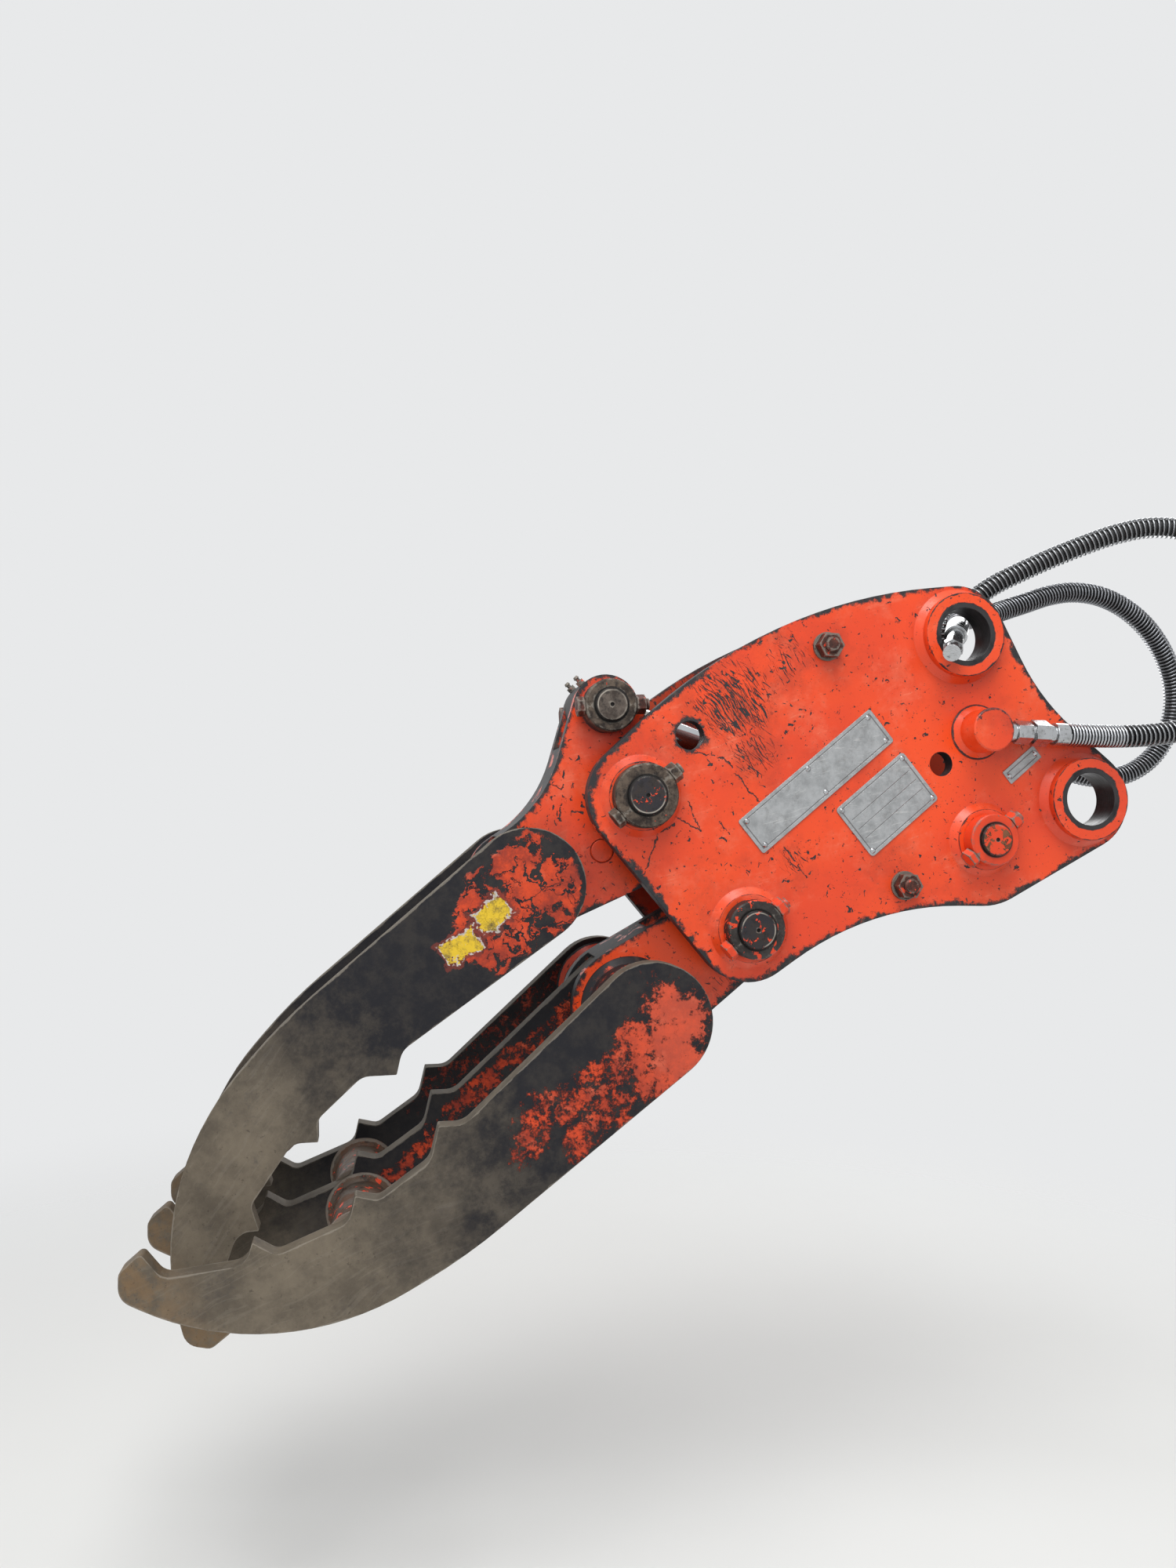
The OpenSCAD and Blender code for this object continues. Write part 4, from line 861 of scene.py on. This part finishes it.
for name, material in {
    "upper_tine_near": tine_steel(
        "upper_near_tine", upper_root, upper_angle, 0.5, upper_patches, reach=0.034, flaking=True,
        stickers=[(-0.641, -0.136, 0.7, 0.036, 0.027), (-0.670, -0.168, 0.55, 0.040, 0.024)],
    ),
    "upper_tine_far": tine_steel(
        "upper_far_tine", upper_root, upper_angle, 0.6, upper_patches, kept=0.5, shade_between=0.25,
        outside=(0.45, upper_outside),
    ),
    "lower_tine_near": tine_steel("lower_near_tine", lower_root, lower_angle, 0.46, lower_patches),
    "lower_tine_mid": tine_steel(
        "lower_middle_tine", lower_root, lower_angle, 0.76, middle_patches, reach=0.016, shade_between=0.2
    ),
    "lower_tine_far": tine_steel(
        "lower_far_tine", lower_root, lower_angle, 0.82, far_patches, kept=0.51, shade_between=0.42,
        outside=(0.5, lower_outside),
    ),
}.items():
    dress(nodes[name], material)


# The cylinder between the side plates: a black enamelled barrel, a hard chromed rod with a dark eye,
# and its seals.
eye_edge = 0.0362


def black_coat(tree, place, fresh, dusty):
    """The colour of black paint with rubbed edges and dust in its corners, and a mask of the dust."""
    shade_and_dirt = use(tree, shade_and_grime, Place=place, Reach=0.01, Patches=30.0)["Mask"]
    rubbed = use(tree, edge_wear, Place=place, Width=0.002, Grain=120.0)["Mask"]
    return cover(tree, cover(tree, fresh, dusty, shade_and_dirt), rgb(96, 90, 84), rubbed), shade_and_dirt


black_enamel, tree, place = new_material("black_enamel")
coat, shade_and_dirt = black_coat(tree, place, rgb(24, 24, 26), rgb(62, 54, 46))
surface(tree, coat, fade(tree, shade_and_dirt, 0, 1, 0.3, 0.7), height=noise(tree, place, 400, 2), relief=0.0001)

rod_chrome, tree, place = new_material("rod_chrome")
film = blotches(tree, place, 40, 4, 0.5, 0.45, 0.7)
from_eye = away_from(tree, flat(tree, place), *pin_places["rod"][:2])
eye = fade_out(tree, from_eye, eye_edge - 0.0004, eye_edge + 0.0004)
chrome = cover(tree, rgb(196, 198, 200), rgb(156, 152, 146), film)
coat, shade_and_dirt = black_coat(tree, place, rgb(30, 29, 31), rgb(66, 56, 48))
surface(
    tree, cover(tree, chrome, coat, eye), fade(tree, eye, 0, 1, fade(tree, film, 0, 1, 0.12, 0.32), 0.55),
    metallic=calc(tree, "SUBTRACT", 1.0, eye), height=noise(tree, place, 700, 2), relief=0.00004,
)
dress(nodes["cylinder_barrel"], black_enamel)
dress(nodes["piston_rod"], rod_chrome)
dress(nodes["cylinder_gland"], bush_steel)
dress(nodes["piston"], bush_steel)
dress(nodes["rod_wiper"], hose_rubber)


# The studio: a pale floor that the open jaws clear, since the grapple hangs, and soft light from above
# and in front. The floor fades into the background and doesn't hide the grapple from below.
floor_z = -0.84
floor_middle = (-0.4, 0.0, 0)
floor_whole, floor_gone = 0.7, 2.2
background = rgb(232, 233, 234)
light_round_about = 0.48

bpy.ops.mesh.primitive_plane_add(size=30, location=(0, 0, floor_z))
floor = bpy.context.active_object
floor.name = "floor"
floor_paint, tree, place = new_material("floor_paint")
tone = cover(tree, rgb(224, 224, 222), rgb(228, 228, 226), noise(tree, place, 3, 3))
paint = put(tree, "BsdfPrincipled", {"Base Color": tone, "Roughness": 0.8})
far_off = fade(tree, vec(tree, "DISTANCE", place, floor_middle), floor_whole, floor_gone)
unseen = calc(tree, "MAXIMUM", far_off, put(tree, "NewGeometry").outputs["Backfacing"])
clear = put(tree, "BsdfTransparent").outputs[0]
faded = put(tree, "MixShader", {0: unseen, 1: paint.outputs[0], 2: clear})
tree.links.new(faded.outputs[0], put(tree, "OutputMaterial").inputs["Surface"])
dress(floor, floor_paint)

world = bpy.data.worlds.new("studio")
bpy.context.scene.world = world
world.use_nodes = True
tree = world.node_tree
tree.nodes.clear()
rays = put(tree, "LightPath").outputs
seen = most(tree, [rays["Is Camera Ray"], rays["Is Glossy Ray"], rays["Is Transmission Ray"]])
strength = fade(tree, seen, 0, 1, light_round_about, 1.0)
glow = put(tree, "Background", {"Color": background, "Strength": strength})
tree.links.new(glow.outputs[0], put(tree, "OutputWorld").inputs["Surface"])


def soft_box(name, place, aim, size, power):
    """A square area lamp that looks at a point."""
    lamp = bpy.data.lights.new(name, "AREA")
    lamp.size = size
    lamp.energy = power
    made = bpy.data.objects.new(name, lamp)
    made.location = place
    made.rotation_euler = (Vector(aim) - Vector(place)).to_track_quat("-Z", "Y").to_euler()
    bpy.context.scene.collection.objects.link(made)


middle = (cad_box[0] + cad_box[1]) / 2
soft_box("overhead", (-0.9, -1.3, 2.2), middle, 1.6, 60)
soft_box("front", (-1.8, -2.6, 0.9), middle, 2.0, 24)
soft_box("back", (1.2, 2.2, 1.6), middle, 2.0, 46)
bpy.context.scene.view_settings.view_transform = "Standard"
